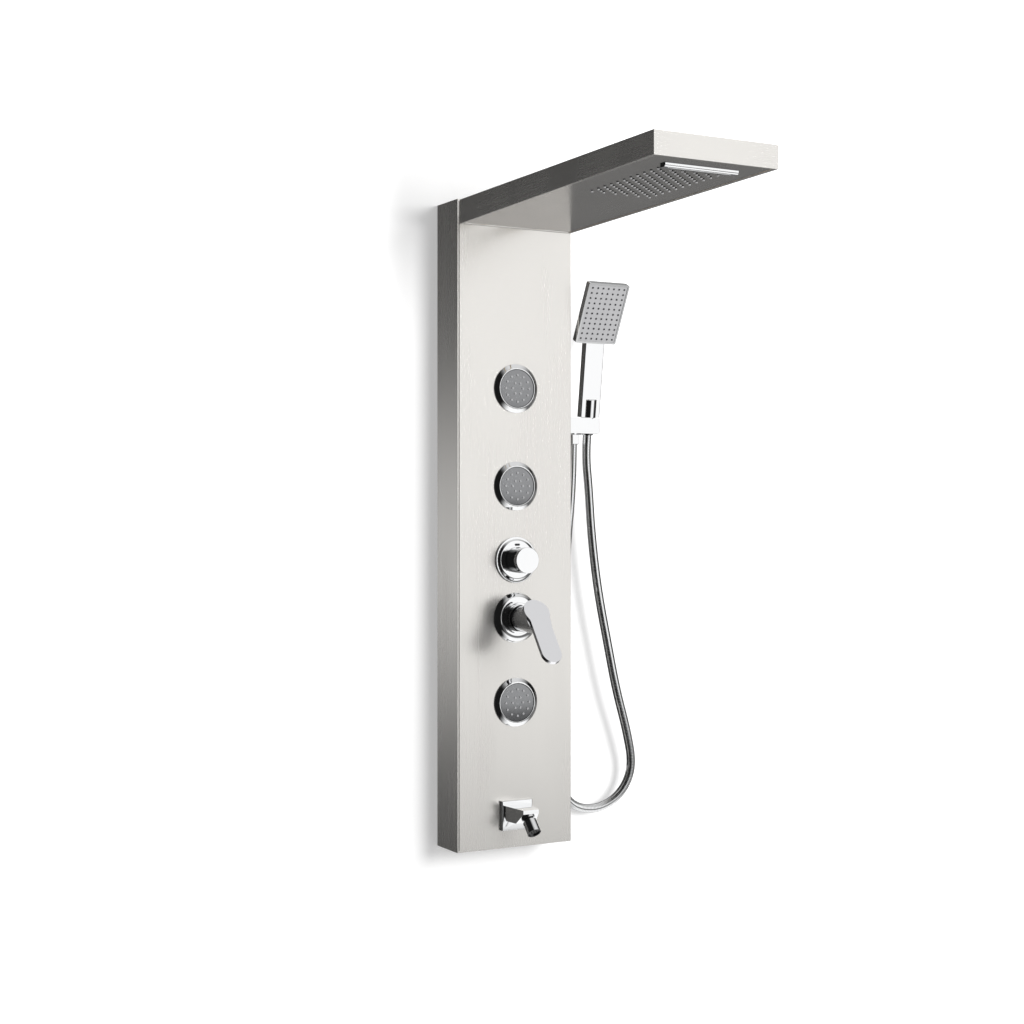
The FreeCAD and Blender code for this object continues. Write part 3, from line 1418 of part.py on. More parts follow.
def holder_block():
    front = COVER_FRONT + HOLDER_FRONT_SETBACK
    x = (HALF_WIDTH, HALF_WIDTH + HOLDER_LENGTH)
    z = (holder_low(), holder_low() + HOLDER_THICKNESS)
    block = box(x, (front, front + HOLDER_DEPTH), z)
    edges = [edge for edge in block.Edges if edge.BoundBox.XMin > HALF_WIDTH + PAST]
    block = block.makeFillet(HOLDER_FILLET, edges)
    stub = rod(TAIL_RADIUS, holder_place(-HOLDER_STUB_LENGTH), holder_place(PAST))
    top = outlet_place(holder_low() + PAST)
    end = holder_low() - OUTLET_LENGTH
    nipple = rod(OUTLET_RADIUS, outlet_place(end), top)
    collar = rod(OUTLET_RADIUS + OUTLET_COLLAR_WIDTH, outlet_place(holder_low() - OUTLET_COLLAR), top)
    reach = HOLDER_THICKNESS
    low = -reach
    cradle = taper(
        cone_radius(low) + CONE_PLAY,
        cone_radius(reach) + CONE_PLAY,
        UPWARD * low,
        UPWARD * reach,
    )
    slot = box((0, HOLDER_LENGTH), (-CRADLE_SLOT / 2, CRADLE_SLOT / 2), (low, reach))
    level = height(HOLDER_HEIGHT)
    cuts = [
        in_cradle(cradle),
        in_cradle(slot),
        rod(WATERWAY, holder_place(-HOLDER_STUB_LENGTH - PAST), holder_place(OUTLET_OFFSET)),
        rod(WATERWAY, outlet_place(level + WATERWAY), outlet_place(end - PAST)),
    ]
    return joined([block, stub, nipple, collar]).cut(cuts)


def handset_pipe():
    level = height(DIVERTER_HEIGHT)
    holder = height(HOLDER_HEIGHT)
    return bent_pipe([
        Vector(DIVERTER_BLOCK_HALF_X, PIPE_Y, level),
        Vector(HANDSET_PIPE_X, PIPE_Y, level),
        Vector(HANDSET_PIPE_X, PIPE_Y, holder),
        holder_place(-HOLDER_STUB_LENGTH),
    ])


def hose_nut_low():
    return holder_low() - OUTLET_COLLAR - FIT - HOSE_NUT_LENGTH


def hose_nut():
    low = outlet_place(hose_nut_low())
    top = low + UPWARD * HOSE_NUT_LENGTH
    nut = hexagon(HOSE_NUT_FLATS, HOSE_BORE, low, top)
    room = outlet_place(holder_low() - OUTLET_LENGTH - FIT)
    return nut.cut(rod(OUTLET_RADIUS + FIT, room, top + UPWARD))


def hose_cone_nut():
    top = UPWARD * CONE_TOP
    end = UPWARD * CONE_END
    cone = taper(CONE_END_RADIUS, CONE_TOP_RADIUS, end, top)
    room = rod(CONNECTOR_SPIGOT_RADIUS + FIT, UPWARD * (spigot_end() - FIT), top + UPWARD)
    return in_cradle(cone.cut([room, rod(HOSE_BORE, end - UPWARD, top)]))


def spigot_end():
    return CONE_TOP - HOSE_NUT_LENGTH


def handset_connector():
    shoulder = UPWARD * (CONE_TOP + 2 * FIT)
    boss = rod(CONNECTOR_RADIUS, shoulder, UPWARD * CONNECTOR_END)
    rims = [edge for edge in boss.Edges if edge.BoundBox.ZMin > CONNECTOR_END - CONNECTOR_CHAMFER]
    boss = boss.makeChamfer(CONNECTOR_CHAMFER, rims)
    spigot = rod(CONNECTOR_SPIGOT_RADIUS, UPWARD * spigot_end(), UPWARD * HANDLE_START)
    waterway = rod(WATERWAY, UPWARD * (spigot_end() - PAST), UPWARD * (CONNECTOR_END + PAST))
    return in_cradle(joined([boss, spigot]).cut(waterway))


def in_head(shape):
    """Puts a shape, drawn upright from the origin, at the top of the handle and leans it."""
    foot = UPWARD * (HANDLE_END - HEAD_LAP)
    shape.translate(foot)
    shape.rotate(foot, ACROSS, HEAD_LEAN)
    return shape


def head_front():
    return -HANDLE_THICKNESS / 2 - HEAD_PROUD


def head_tip_places():
    places = []
    for column in range(HEAD_TIPS_ACROSS):
        for row in range(HEAD_TIPS_ALONG):
            x = (column - (HEAD_TIPS_ACROSS - 1) / 2) * HEAD_TIP_PITCH_ACROSS
            z = HEAD_LENGTH / 2 + (row - (HEAD_TIPS_ALONG - 1) / 2) * HEAD_TIP_PITCH_ALONG
            places.append((x, z))
    return places


def head_rods(radius, low_y, high_y):
    return [rod(radius, Vector(x, low_y, z), Vector(x, high_y, z)) for x, z in head_tip_places()]


def face_half():
    return HEAD_WIDTH / 2 - HEAD_RIM


def handset_body():
    half = HANDLE_WIDTH / 2
    depth = HANDLE_THICKNESS / 2
    handle = box((-half, half), (-depth, depth), (HANDLE_START, HANDLE_END))
    long_edges = [edge for edge in handle.Edges if edge.Length > 2 * HANDLE_WIDTH]
    handle = handle.makeFillet(HANDLE_FILLET, long_edges)
    front = head_front()
    head = box((-HEAD_WIDTH / 2, HEAD_WIDTH / 2), (front, front + HEAD_THICKNESS), (0, HEAD_LENGTH))
    corners = [edge for edge in head.Edges if abs(edge.Length - HEAD_THICKNESS) < 0.01]
    head = head.makeFillet(HEAD_RIM, corners)
    room = (HEAD_RIM, HEAD_LENGTH - HEAD_RIM)
    seat_back = front + FACE_RECESS + FACE_THICKNESS
    seat = box((-face_half(), face_half()), (front - PAST, seat_back), room)
    ledge = HEAD_RIM
    chamber_half = face_half() - ledge
    chamber_z = (room[0] + ledge, room[1] - ledge)
    chamber_y = (seat_back - PAST, seat_back + MAT + HEAD_CHAMBER)
    chamber = box((-chamber_half, chamber_half), chamber_y, chamber_z)
    body = joined([handle, in_head(head)])
    bed_start = UPWARD * (HANDLE_START - PAST)
    bed = rod(CONNECTOR_RADIUS + FIT, bed_start, UPWARD * (CONNECTOR_END + FIT))
    waterway = rod(WATERWAY, UPWARD * CONNECTOR_END, UPWARD * (HANDLE_END + HEAD_LAP))
    return in_cradle(body.cut([in_head(seat), in_head(chamber), bed, waterway]))


def handset_face():
    front = head_front() + FACE_RECESS
    half = face_half() - FIT
    low = HEAD_RIM + FIT
    plate = box((-half, half), (front, front + FACE_THICKNESS), (low, HEAD_LENGTH - low))
    holes = head_rods(HEAD_TIP_RADIUS + FIT, front - PAST, front + FACE_THICKNESS + PAST)
    return in_cradle(in_head(plate.cut(holes)))


def handset_tips():
    front = head_front() + FACE_RECESS
    back = front + FACE_THICKNESS
    half = face_half() - HEAD_RIM - FIT
    low = 2 * HEAD_RIM + FIT
    mat = box((-half, half), (back, back + MAT), (low, HEAD_LENGTH - low))
    tips = head_rods(HEAD_TIP_RADIUS, front - HEAD_TIP_OUT, back + MAT / 2)
    bores = head_rods(TIP_BORE, front - HEAD_TIP_OUT - PAST, back + MAT + PAST)
    return in_cradle(in_head(joined([mat] + tips).cut(bores)))


# ---- hose ----

def hose_points():
    lean = math.radians(HANDSET_LEAN)
    up = Vector(0, -math.sin(lean), math.cos(lean))
    start = cradle_place() + up * CONE_END
    end = outlet_place(hose_nut_low())
    route = [Vector(*point) for point in HOSE_ROUTE]
    return [start, start - up * HOSE_LEAD] + route + [end - UPWARD * HOSE_DROP, end]


def hose_radii(points):
    """Each arc takes the same share of the shorter of its two runs."""
    radii = []
    for index in range(1, len(points) - 1):
        before, corner, after = points[index - 1:index + 2]
        shorter = min((corner - before).Length, (after - corner).Length)
        radii.append(RUN_SHARE * shorter / math.tan(half_turn(before, corner, after)))
    return radii


def hose_path():
    points = hose_points()
    return rounded_path(points, hose_radii(points))


def place_along(path, distance):
    """Point and direction of a path at a distance from its start."""
    for edge in path.OrderedEdges:
        if distance <= edge.Length or edge.isSame(path.OrderedEdges[-1]):
            forward = edge.Orientation == "Forward"
            length = min(distance, edge.Length)
            parameter = edge.getParameterByLength(length if forward else edge.Length - length)
            tangent = edge.tangentAt(parameter)
            return edge.valueAt(parameter), tangent if forward else -tangent
        distance -= edge.Length


def ring_at(centre, direction, radius):
    """Circle that starts on the side of the hose that looks at the wall."""
    side = Vector(0, 1, 0)
    across = (side - direction * side.dot(direction)).normalize()
    turn = Rotation(across, direction.cross(across), direction, "ZXY")
    circle = Part.makeCircle(radius)
    circle.Placement = Placement(centre, turn)
    return Part.Wire(circle)


def rib_profile(length):
    """(distance, radius) of the four circles of each rib, between two plain ends."""
    end = 2 * HOSE_RADIUS
    pitch = (length - 2 * end) / HOSE_RIBS
    low = HOSE_RADIUS - RIB_DEPTH
    radii = (low, HOSE_RADIUS, HOSE_RADIUS, low)
    rings = [(0, HOSE_RADIUS), (end - pitch / 4, HOSE_RADIUS)]
    for rib in range(HOSE_RIBS):
        start = end + rib * pitch
        for share, radius in zip(RIB_SHARES, radii):
            rings.append((start + share * pitch, radius))
    rings += [(length - end + pitch / 4, HOSE_RADIUS), (length, HOSE_RADIUS)]
    return rings


def hose():
    path = hose_path()
    rings = []
    for distance, radius in rib_profile(path.Length):
        centre, direction = place_along(path, distance)
        rings.append(ring_at(centre, direction, radius))
    return Part.makeLoft(rings, True, True).cut(swept(path, HOSE_BORE))


def least_gap(path, diameter, step=8.0):
    """Least distance between the hose and itself, on points more than two diameters apart."""
    count = int(path.Length / step)
    points = [place_along(path, index * step)[0] for index in range(count + 1)]
    skip = int(4 * diameter / step) + 1
    gaps = [(a - b).Length for i, a in enumerate(points) for b in points[i + skip:]]
    return min(gaps) - diameter


def pieces():
    shapes = {
        "rear_housing": rear_housing(),
        "front_cover": front_cover(),
        "cover_nuts": cover_nuts(),
        "wall_hangers": wall_hangers(),
        "arm_shell": arm_shell(),
        "arm_bracket": arm_bracket(),
        "arm_bolts": arm_bolts(),
        "spray_plate": spray_plate(),
        "nozzle_mat": nozzle_mat(),
        "rain_chamber": rain_chamber(),
        "waterfall_lip": waterfall_lip(),
        "waterfall_chamber": waterfall_chamber(),
        "arm_pipes": arm_pipes(),
        "jet_pipe": jet_pipe(),
        "jet_nuts": Part.makeCompound([jet_nut(origin) for origin in jet_origins()]),
        "jet_sockets": Part.makeCompound([jet_socket(origin) for origin in jet_origins()]),
        "diverter_body": diverter_body(),
        "diverter_flange": diverter_flange(),
        "diverter_marker": diverter_marker(),
        "diverter_bonnet": diverter_bonnet(),
        "diverter_spindle": diverter_spindle(),
        "diverter_knob": diverter_knob(),
        "knob_cap": knob_cap(),
        "mixer_body": mixer_body(),
        "mixer_cartridge": mixer_cartridge(),
        "mixer_flange": mixer_flange(),
        "mixer_collar": mixer_collar(),
        "mixer_swivel": mixer_swivel(),
        "lever_pin": lever_pin(),
        "mixer_lever": mixer_lever(),
        "inlet_nipples": inlet_nipples(),
        "mixer_link": mixer_link(),
        "spout_plate": spout_plate(),
        "spout_body": spout_body(),
        "tail_nuts": tail_nuts(),
        "spout_pipe": spout_pipe(),
        "aerator_ball": aerator_ball(),
        "aerator_collar": aerator_collar(),
        "aerator_shell": aerator_shell(),
        "holder_block": holder_block(),
        "handset_pipe": handset_pipe(),
        "hose_nut": hose_nut(),
        "hose": hose(),
        "hose_cone_nut": hose_cone_nut(),
        "handset_connector": handset_connector(),
        "handset_body": handset_body(),
        "handset_face": handset_face(),
        "handset_tips": handset_tips(),
    }
    for number, origin in enumerate(jet_origins(), start=1):
        shapes[f"jet_{number}_ring"] = jet_ring(origin)
        shapes[f"jet_{number}_seat"] = jet_seat(origin)
        shapes[f"jet_{number}_face"] = jet_face(origin)
        shapes[f"jet_{number}_tips"] = jet_tips(origin)
    return shapes


os.makedirs("parts", exist_ok=True)
for name, shape in pieces().items():
    shape.exportStep(f"parts/{name}.step")

path = hose_path()
print("hose length", round(path.Length, 1))
print("hose radii", [round(radius) for radius in hose_radii(hose_points())])
section = math.pi * HOSE_RADIUS ** 2 * path.Length
print("hose sweep to section times length", round(swept(path, HOSE_RADIUS).Volume / section, 5))
print("hose least gap to itself", round(least_gap(path, 2 * HOSE_RADIUS), 1))
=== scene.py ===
import math

import bpy
import numpy as np
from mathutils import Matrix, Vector


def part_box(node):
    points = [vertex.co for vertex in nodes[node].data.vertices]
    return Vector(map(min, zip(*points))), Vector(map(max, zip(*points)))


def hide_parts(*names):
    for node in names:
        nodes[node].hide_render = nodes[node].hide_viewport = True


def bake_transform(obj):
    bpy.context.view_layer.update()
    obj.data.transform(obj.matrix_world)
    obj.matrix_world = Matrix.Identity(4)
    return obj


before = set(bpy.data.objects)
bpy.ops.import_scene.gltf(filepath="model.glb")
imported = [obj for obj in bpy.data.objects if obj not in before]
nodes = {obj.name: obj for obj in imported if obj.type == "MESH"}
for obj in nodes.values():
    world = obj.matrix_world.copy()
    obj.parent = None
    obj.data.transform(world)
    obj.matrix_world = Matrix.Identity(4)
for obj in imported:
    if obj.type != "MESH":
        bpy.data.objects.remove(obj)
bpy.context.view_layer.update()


def add_object(name, data):
    obj = bpy.data.objects.new(name, data)
    bpy.context.scene.collection.objects.link(obj)
    return obj


# ---------------------------------------------------------------- camera
PHOTO_SIDE = 1024                  # pixels
SENSOR = 36.0                      # millimetres
LENS = 60.08                       # millimetres
CAMERA_PLACE = (-1.2915, -2.3932, 0.0261)
CAMERA_TILT = 90.0                 # degrees from straight down: the camera looks level
CAMERA_TURN = -28.95               # degrees about the vertical
AXIS_ROW = 508.87                  # the photograph's row that the lens axis meets
CLIP_START = 0.05                  # metres

camera_data = bpy.data.cameras.new("camera")
camera_data.sensor_width = SENSOR
camera_data.lens = LENS
camera_data.shift_y = (AXIS_ROW - PHOTO_SIDE / 2) / PHOTO_SIDE
camera_data.clip_start = CLIP_START
camera = add_object("camera", camera_data)
camera.location = CAMERA_PLACE
camera.rotation_euler = (math.radians(CAMERA_TILT), 0, math.radians(CAMERA_TURN))
bpy.context.scene.camera = camera


# ---------------------------------------------------------------- node graphs
class Graph:
    """A material's or the world's nodes, with short calls to add and link them."""

    def __init__(self, owner):
        owner.use_nodes = True
        self.tree = owner.node_tree
        self.nodes = self.tree.nodes

    def add(self, kind, **settings):
        node = self.nodes.new(kind)
        for key, value in settings.items():
            setattr(node, key, value)
        return node

    def link(self, source, target):
        self.tree.links.new(source, target)

    def put(self, value, socket):
        """Links an output, or sets a plain number, vector or colour."""
        if isinstance(value, bpy.types.NodeSocket):
            self.link(value, socket)
        elif socket.type == "RGBA":
            socket.default_value = (*value, 1)
        else:
            socket.default_value = value

    def math(self, operation, a, b=0.0):
        node = self.add("ShaderNodeMath", operation=operation)
        self.put(a, node.inputs[0])
        self.put(b, node.inputs[1])
        return node.outputs[0]

    def product(self, first, *others):
        for other in others:
            first = self.math("MULTIPLY", first, other)
        return first

    def largest(self, first, *others):
        for other in others:
            first = self.math("MAXIMUM", first, other)
        return first

    def dot(self, a, b):
        node = self.add("ShaderNodeVectorMath", operation="DOT_PRODUCT")
        self.put(a, node.inputs[0])
        self.put(b, node.inputs[1])
        return node.outputs["Value"]

    def span(self, value, low, high, out_low=0.0, out_high=1.0, smooth=True):
        """value from low..high mapped to out_low..out_high, and held beyond."""
        node = self.add("ShaderNodeMapRange")
        node.interpolation_type = "SMOOTHSTEP" if smooth else "LINEAR"
        self.put(value, node.inputs["Value"])
        node.inputs["From Min"].default_value = low
        node.inputs["From Max"].default_value = high
        node.inputs["To Min"].default_value = out_low
        node.inputs["To Max"].default_value = out_high
        return node.outputs["Result"]

    def noise(self, vector, scale, detail=2.0, roughness=0.5):
        node = self.add("ShaderNodeTexNoise")
        self.put(vector, node.inputs["Vector"])
        node.inputs["Scale"].default_value = scale
        node.inputs["Detail"].default_value = detail
        node.inputs["Roughness"].default_value = roughness
        return node.outputs["Fac"]

    def place(self):
        """The point in the part's frame, in metres."""
        return self.add("ShaderNodeTexCoord").outputs["Object"]

    def stretched(self, scale):
        """The point with each axis scaled by its own number."""
        node = self.add("ShaderNodeMapping", vector_type="POINT")
        self.put(self.place(), node.inputs["Vector"])
        node.inputs["Scale"].default_value = scale
        return node.outputs["Vector"]

    def colour(self, factor, low, high):
        """A mix of two colours, each a plain colour or an output."""
        node = self.add("ShaderNodeMix", data_type="RGBA")
        self.put(factor, node.inputs["Factor"])
        self.put(low, node.inputs["A"])
        self.put(high, node.inputs["B"])
        return next(o for o in node.outputs if o.type == "RGBA")

    def bump(self, height, distance, strength):
        node = self.add("ShaderNodeBump")
        node.inputs["Strength"].default_value = strength
        node.inputs["Distance"].default_value = distance
        self.put(height, node.inputs["Height"])
        return node.outputs["Normal"]


# ---------------------------------------------------------------- finishes
NOISE_SPAN = (0.3, 0.7)            # where most of a noise's values lie

SHEET_METALLIC = 0.88              # short of 1, so that sheet away from the light isn't black
GRAIN_LAYERS = (                   # lines in a metre across and along the grain, detail, share
    (420.0, 5.0, 3.0, 0.6),
    (2200.0, 22.0, 2.0, 0.4),
)
GRAIN_ROUGHNESS = 0.6              # of the grain's noise
GRAIN_DEPTH = 0.00003              # metres
SHEET_CLOUD = (9.0, 9.0, 3.0)      # wide uneven patches in a metre of each axis
SHEET_SPREAD = 0.02                # how far the sheet's roughness strays, by grain and by cloud

METAL_TINT = 0.015                 # how far smudges lighten or darken a metal
WEAR = 60.0                        # smudges in a metre
SMUDGE_DETAIL, SMUDGE_ROUGHNESS = 4.0, 0.6
SMUDGE_SPAN = (0.35, 0.7)          # where the values of a smudge's noise lie
SMUDGE_SPREAD = 0.02               # how far smudges change the roughness
GLOSSIEST = 0.02                   # no roughness goes below this
DARK_EDGE = 0.2                    # width of the change from bright to dark, in the dot product
DULLNESS = 0.25                    # roughness that the dull and dark side adds
BAND_EDGE = 0.0001                 # half the width of a band's edge, metres

MOULD_GRAIN, MOULD_DEPTH = 1800.0, 0.00002    # bumps in a metre, their height in metres
MOULD_STRENGTH = 0.5               # of the bumps
MOULD_CLOUD, MOULD_CLOUD_DETAIL = 45.0, 3.0
MOULD_TINT = 0.05                  # how far the cloud lightens or darkens the colour
MOULD_SPREAD = 0.04                # how far the grain changes the roughness

UNDER_SLOPE = 9.5 / 533            # rise of the arm's underside towards the front
UNDER_LEVEL = 0.4615 - 0.070 * UNDER_SLOPE    # its height at the wall, if it reached there
LIP_BAND = 0.0004                  # the lip is painted dark above this height over the underside, as painted shade in its slot
TIPS_BAND = -0.0003                # and the rain tips above this one, as painted shade; their pale lower ends are painted highlight


def shade(value, amount):
    """A colour darker by an amount, and lighter by it."""
    return tuple(v * (1 - amount) for v in value), tuple(v * (1 + amount) for v in value)


def surface(name, **sockets):
    material = bpy.data.materials.new(name)
    graph = Graph(material)
    shader = graph.nodes["Principled BSDF"]
    for key, value in sockets.items():
        shader.inputs[key.replace("_", " ")].default_value = value
    return material, graph, shader


def brushed(name, colour, grain_way, roughness=0.26, contrast=0.010, relief=0.08):
    """Sheet metal with its grain along one axis or two: (0, 0, 1) is vertical."""
    material, graph, shader = surface(name, Metallic=SHEET_METALLIC)
    layers = []
    for across, run, detail, share in GRAIN_LAYERS:
        scale = [across * (1 - way) + run * way for way in grain_way]
        lines = graph.noise(graph.stretched(scale), 1.0, detail, GRAIN_ROUGHNESS)
        layers.append(graph.math("MULTIPLY", lines, share))
    grain = graph.math("ADD", *layers)
    cloud = graph.noise(graph.stretched(SHEET_CLOUD), 1.0)
    tint = graph.colour(graph.span(grain, *NOISE_SPAN, smooth=False), *shade(colour, contrast))
    rough = graph.math(
        "ADD",
        graph.span(grain, *NOISE_SPAN, roughness - SHEET_SPREAD, roughness + SHEET_SPREAD),
        graph.span(cloud, *NOISE_SPAN, -SHEET_SPREAD, SHEET_SPREAD))
    graph.link(tint, shader.inputs["Base Color"])
    graph.link(rough, shader.inputs["Roughness"])
    graph.link(graph.bump(grain, GRAIN_DEPTH, relief), shader.inputs["Normal"])
    return material


def metal(name, colour, roughness, spread=SMUDGE_SPREAD, wear=WEAR,
          dark_way=None, dark_from=0.3, dark=0.12):
    """Bare or plated metal with faint smudges in its gloss. A side that looks along dark_way
    is dull, and its colour is only the share dark of the rest. On the lever's back this dark
    colour is painted shade."""
    material, graph, shader = surface(name, Metallic=1.0)
    smudge = graph.noise(graph.place(), wear, SMUDGE_DETAIL, SMUDGE_ROUGHNESS)
    tint = graph.colour(smudge, *shade(colour, METAL_TINT))
    rough = graph.span(smudge, *SMUDGE_SPAN, max(roughness - spread, GLOSSIEST), roughness + spread)
    # the dark side's colour: painted shade on the lever's back
    if dark_way is not None:
        look = graph.add("ShaderNodeTexCoord").outputs["Normal"]
        behind = graph.span(graph.dot(look, dark_way), dark_from, dark_from + DARK_EDGE)
        tint = graph.colour(behind, tint, [v * dark for v in colour])
        rough = graph.math("ADD", rough, graph.math("MULTIPLY", behind, DULLNESS))
    graph.link(tint, shader.inputs["Base Color"])
    graph.link(rough, shader.inputs["Roughness"])
    return material


def banded(name, colour, roughness, level, above, **sockets):
    """A surface that is dull, and has the colour above, over a level that is measured up from
    the arm's sloping underside. That dark upper band is painted shade; on the rain tips the
    pale colour below it is painted highlight."""
    material, graph, shader = surface(name, **sockets)
    height = graph.dot(graph.place(), (0.0, UNDER_SLOPE, 1.0))
    lift = graph.math("SUBTRACT", height, UNDER_LEVEL)
    painted_shade_band = graph.span(lift, level - BAND_EDGE, level + BAND_EDGE)
    noise = graph.noise(graph.place(), WEAR, SMUDGE_DETAIL, SMUDGE_ROUGHNESS)
    smudge = graph.span(noise, *SMUDGE_SPAN, -SMUDGE_SPREAD, SMUDGE_SPREAD)
    rough = graph.math("ADD", graph.math("ADD", smudge, roughness),
                       graph.math("MULTIPLY", painted_shade_band, DULLNESS))
    graph.link(graph.colour(painted_shade_band, colour, above), shader.inputs["Base Color"])
    graph.link(rough, shader.inputs["Roughness"])
    return material


def moulded(name, colour, roughness, **sockets):
    """Plastic or rubber with a fine moulded texture."""
    material, graph, shader = surface(name, **sockets)
    texture = graph.noise(graph.place(), MOULD_GRAIN)
    cloud = graph.noise(graph.place(), MOULD_CLOUD, MOULD_CLOUD_DETAIL)
    rough = graph.span(texture, *NOISE_SPAN, roughness - MOULD_SPREAD, roughness + MOULD_SPREAD)
    graph.link(graph.colour(cloud, *shade(colour, MOULD_TINT)), shader.inputs["Base Color"])
    graph.link(rough, shader.inputs["Roughness"])
    graph.link(graph.bump(texture, MOULD_DEPTH, MOULD_STRENGTH), shader.inputs["Normal"])
    return material


STEEL = (0.775, 0.757, 0.727)
CHROME = (0.88, 0.885, 0.89)
LEVER_SHADED_BACK = (0.0, 1.0, 0.0)            # where the lever's back looks: dull, and painted dark as painted shade
AERATOR_WAY = (0.0, -0.685, -0.728)     # where the dark end of the aerator looks
materials = {
    "column_sheet": brushed("column_sheet", STEEL, (0, 0, 1)),
    "arm_sheet": brushed("arm_sheet", STEEL, (1, 1, 0), contrast=0.007, relief=0.02),
    "spray_sheet": brushed("spray_sheet", (0.70, 0.68, 0.655), (0, 1, 0), roughness=0.2,
                           contrast=0.008, relief=0.02),
    "polished": metal("polished", CHROME, 0.05),
    # the lever's back is painted dark, as painted shade
    "satin": metal("satin", (0.88, 0.88, 0.90), 0.14, spread=0.03, wear=90.0,
                   dark_way=LEVER_SHADED_BACK),
    "aerator": metal("aerator", CHROME, 0.05, dark_way=AERATOR_WAY, dark_from=0.75, dark=0.05),
    "zinc": metal("zinc", (0.62, 0.62, 0.60), 0.38, spread=0.08, wear=220.0),
    "brass": metal("brass", (0.72, 0.53, 0.26), 0.3, spread=0.07, wear=160.0),
    # the lip's dark upper band is painted shade in its slot
    "lip": banded("lip", CHROME, 0.13, LIP_BAND, (0.13, 0.13, 0.13), Metallic=1.0),
    # the rain tips: painted shade above the band, painted highlight on their pale lower ends
    "rain_tips": banded("rain_tips", (0.75, 0.75, 0.76), 0.35, TIPS_BAND, (0.045, 0.045, 0.047)),
    "dark_joint": moulded("dark_joint", (0.02, 0.02, 0.021), 0.35),
    "plastic_grey": moulded("plastic_grey", (0.30, 0.30, 0.31), 0.45),
    "plastic_dark": moulded("plastic_dark", (0.025, 0.025, 0.027), 0.4),
    "jet_grey": moulded("jet_grey", (0.27, 0.274, 0.281), 0.24, Metallic=0.9),
    "jet_tips": moulded("jet_tips", (0.62, 0.62, 0.63), 0.35, Metallic=0.5),
    "face_grey": moulded("face_grey", (0.50, 0.50, 0.51), 0.42),
    "soft_dark": moulded("soft_dark", (0.055, 0.055, 0.06), 0.55),
}

FINISH = {                         # the nodes whose finish isn't named by their own slot
    "rear_housing": "column_sheet", "front_cover": "column_sheet", "arm_shell": "arm_sheet",
    "spray_plate": "spray_sheet", "mixer_lever": "satin", "aerator_shell": "aerator",
    "waterfall_lip": "lip", "nozzle_mat": "rain_tips",
}
for number in (1, 2, 3):
    FINISH[f"jet_{number}_face"] = "jet_grey"
    FINISH[f"jet_{number}_tips"] = "jet_tips"


def dress(obj, material):
    """Puts a material in every slot of an object."""
    if not obj.data.materials:
        obj.data.materials.append(material)
    for index in range(len(obj.data.materials)):
        obj.data.materials[index] = material


for name, obj in nodes.items():
    kind = FINISH.get(name) or obj.data.materials[0].name.split(".")[0]
    dress(obj, materials[kind])


# ---------------------------------------------------------------- soft edges
EDGES = {                          # width of the rounded edge in metres
    "mixer_lever": 0.0011, "holder_block": 0.0006, "spout_body": 0.0012, "spout_plate": 0.0008,
    "handset_body": 0.0007, "diverter_knob": 0.0006, "arm_shell": 0.0005, "front_cover": 0.0004,
    "rear_housing": 0.0004, "waterfall_lip": 0.0004, "hose_nut": 0.0006,
    "diverter_flange": 0.0003, "mixer_flange": 0.0003,
    "jet_1_ring": 0.0003, "jet_2_ring": 0.0003, "jet_3_ring": 0.0003,
}
EDGE_ANGLE = 35                    # degrees between the faces of an edge that is rounded
EDGE_SEGMENTS = 3
WELD_REACH = 0.000002              # metres
NORMAL_WEIGHT = 60                 # how far large faces decide the shading of an edge

for name, width in EDGES.items():
    weld = nodes[name].modifiers.new("weld", "WELD")
    weld.merge_threshold = WELD_REACH
    bevel = nodes[name].modifiers.new("bevel", "BEVEL")
    bevel.limit_method = "ANGLE"
    bevel.angle_limit = math.radians(EDGE_ANGLE)
    bevel.width = width
    bevel.segments = EDGE_SEGMENTS
    bevel.use_clamp_overlap = True
    nodes[name].modifiers.new("normals", "WEIGHTED_NORMAL").weight = NORMAL_WEIGHT

ARM_LOW, ARM_OUT = 0.40, -0.20     # the arm's pieces are above the one and start beyond the other
unmirrored = ["handset_body", "handset_face", "handset_tips", "handset_connector"]
for name in nodes:
    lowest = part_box(name)[0]
    if lowest.z > ARM_LOW and lowest.y < ARM_OUT:
        unmirrored.append(name)
for name in unmirrored:            # pieces whose mirror image the photograph's sheets don't show
    nodes[name].visible_glossy = False


# ---------------------------------------------------------------- the hose
HOSE_DIAMETER = 0.014
RIBS = 500
RIB_PROFILE = [                    # share of a rib, radius as a share of the hose's own
    (0.00, 0.845), (0.08, 0.940), (0.14, 1.000), (0.20, 1.000),
    (0.80, 1.000), (0.86, 1.000), (0.92, 0.940),
]
HOSE_SIDES = 24
ROUTE_ORDER, ROUTE_STEPS = 3, 24   # of the smooth line through the route, steps for each station
HOSE_ROUTE = [                     # from the outlet's nut to the hand shower's cone
    (0.1190, -0.04400, 0.12945), (0.1185, -0.04350, 0.05995), (0.1102, -0.03800, -0.04000),
    (0.1093, -0.03550, -0.15500), (0.1095, -0.03300, -0.27000), (0.1095, -0.02600, -0.36500),
    (0.1115, -0.01800, -0.42800), (0.1390, -0.01700, -0.45900), (0.1830, -0.02200, -0.46350),
    (0.2230, -0.02750, -0.44000), (0.2415, -0.03150, -0.39700), (0.2270, -0.03650, -0.33800),
    (0.2035, -0.04050, -0.26800), (0.1870, -0.04200, -0.19600), (0.1670, -0.04200, -0.10400),
    (0.1550, -0.04200, -0.01200), (0.1497, -0.04250, 0.06200), (0.1435, -0.04373, 0.11141),
    (0.1435, -0.04817, 0.14512),
]


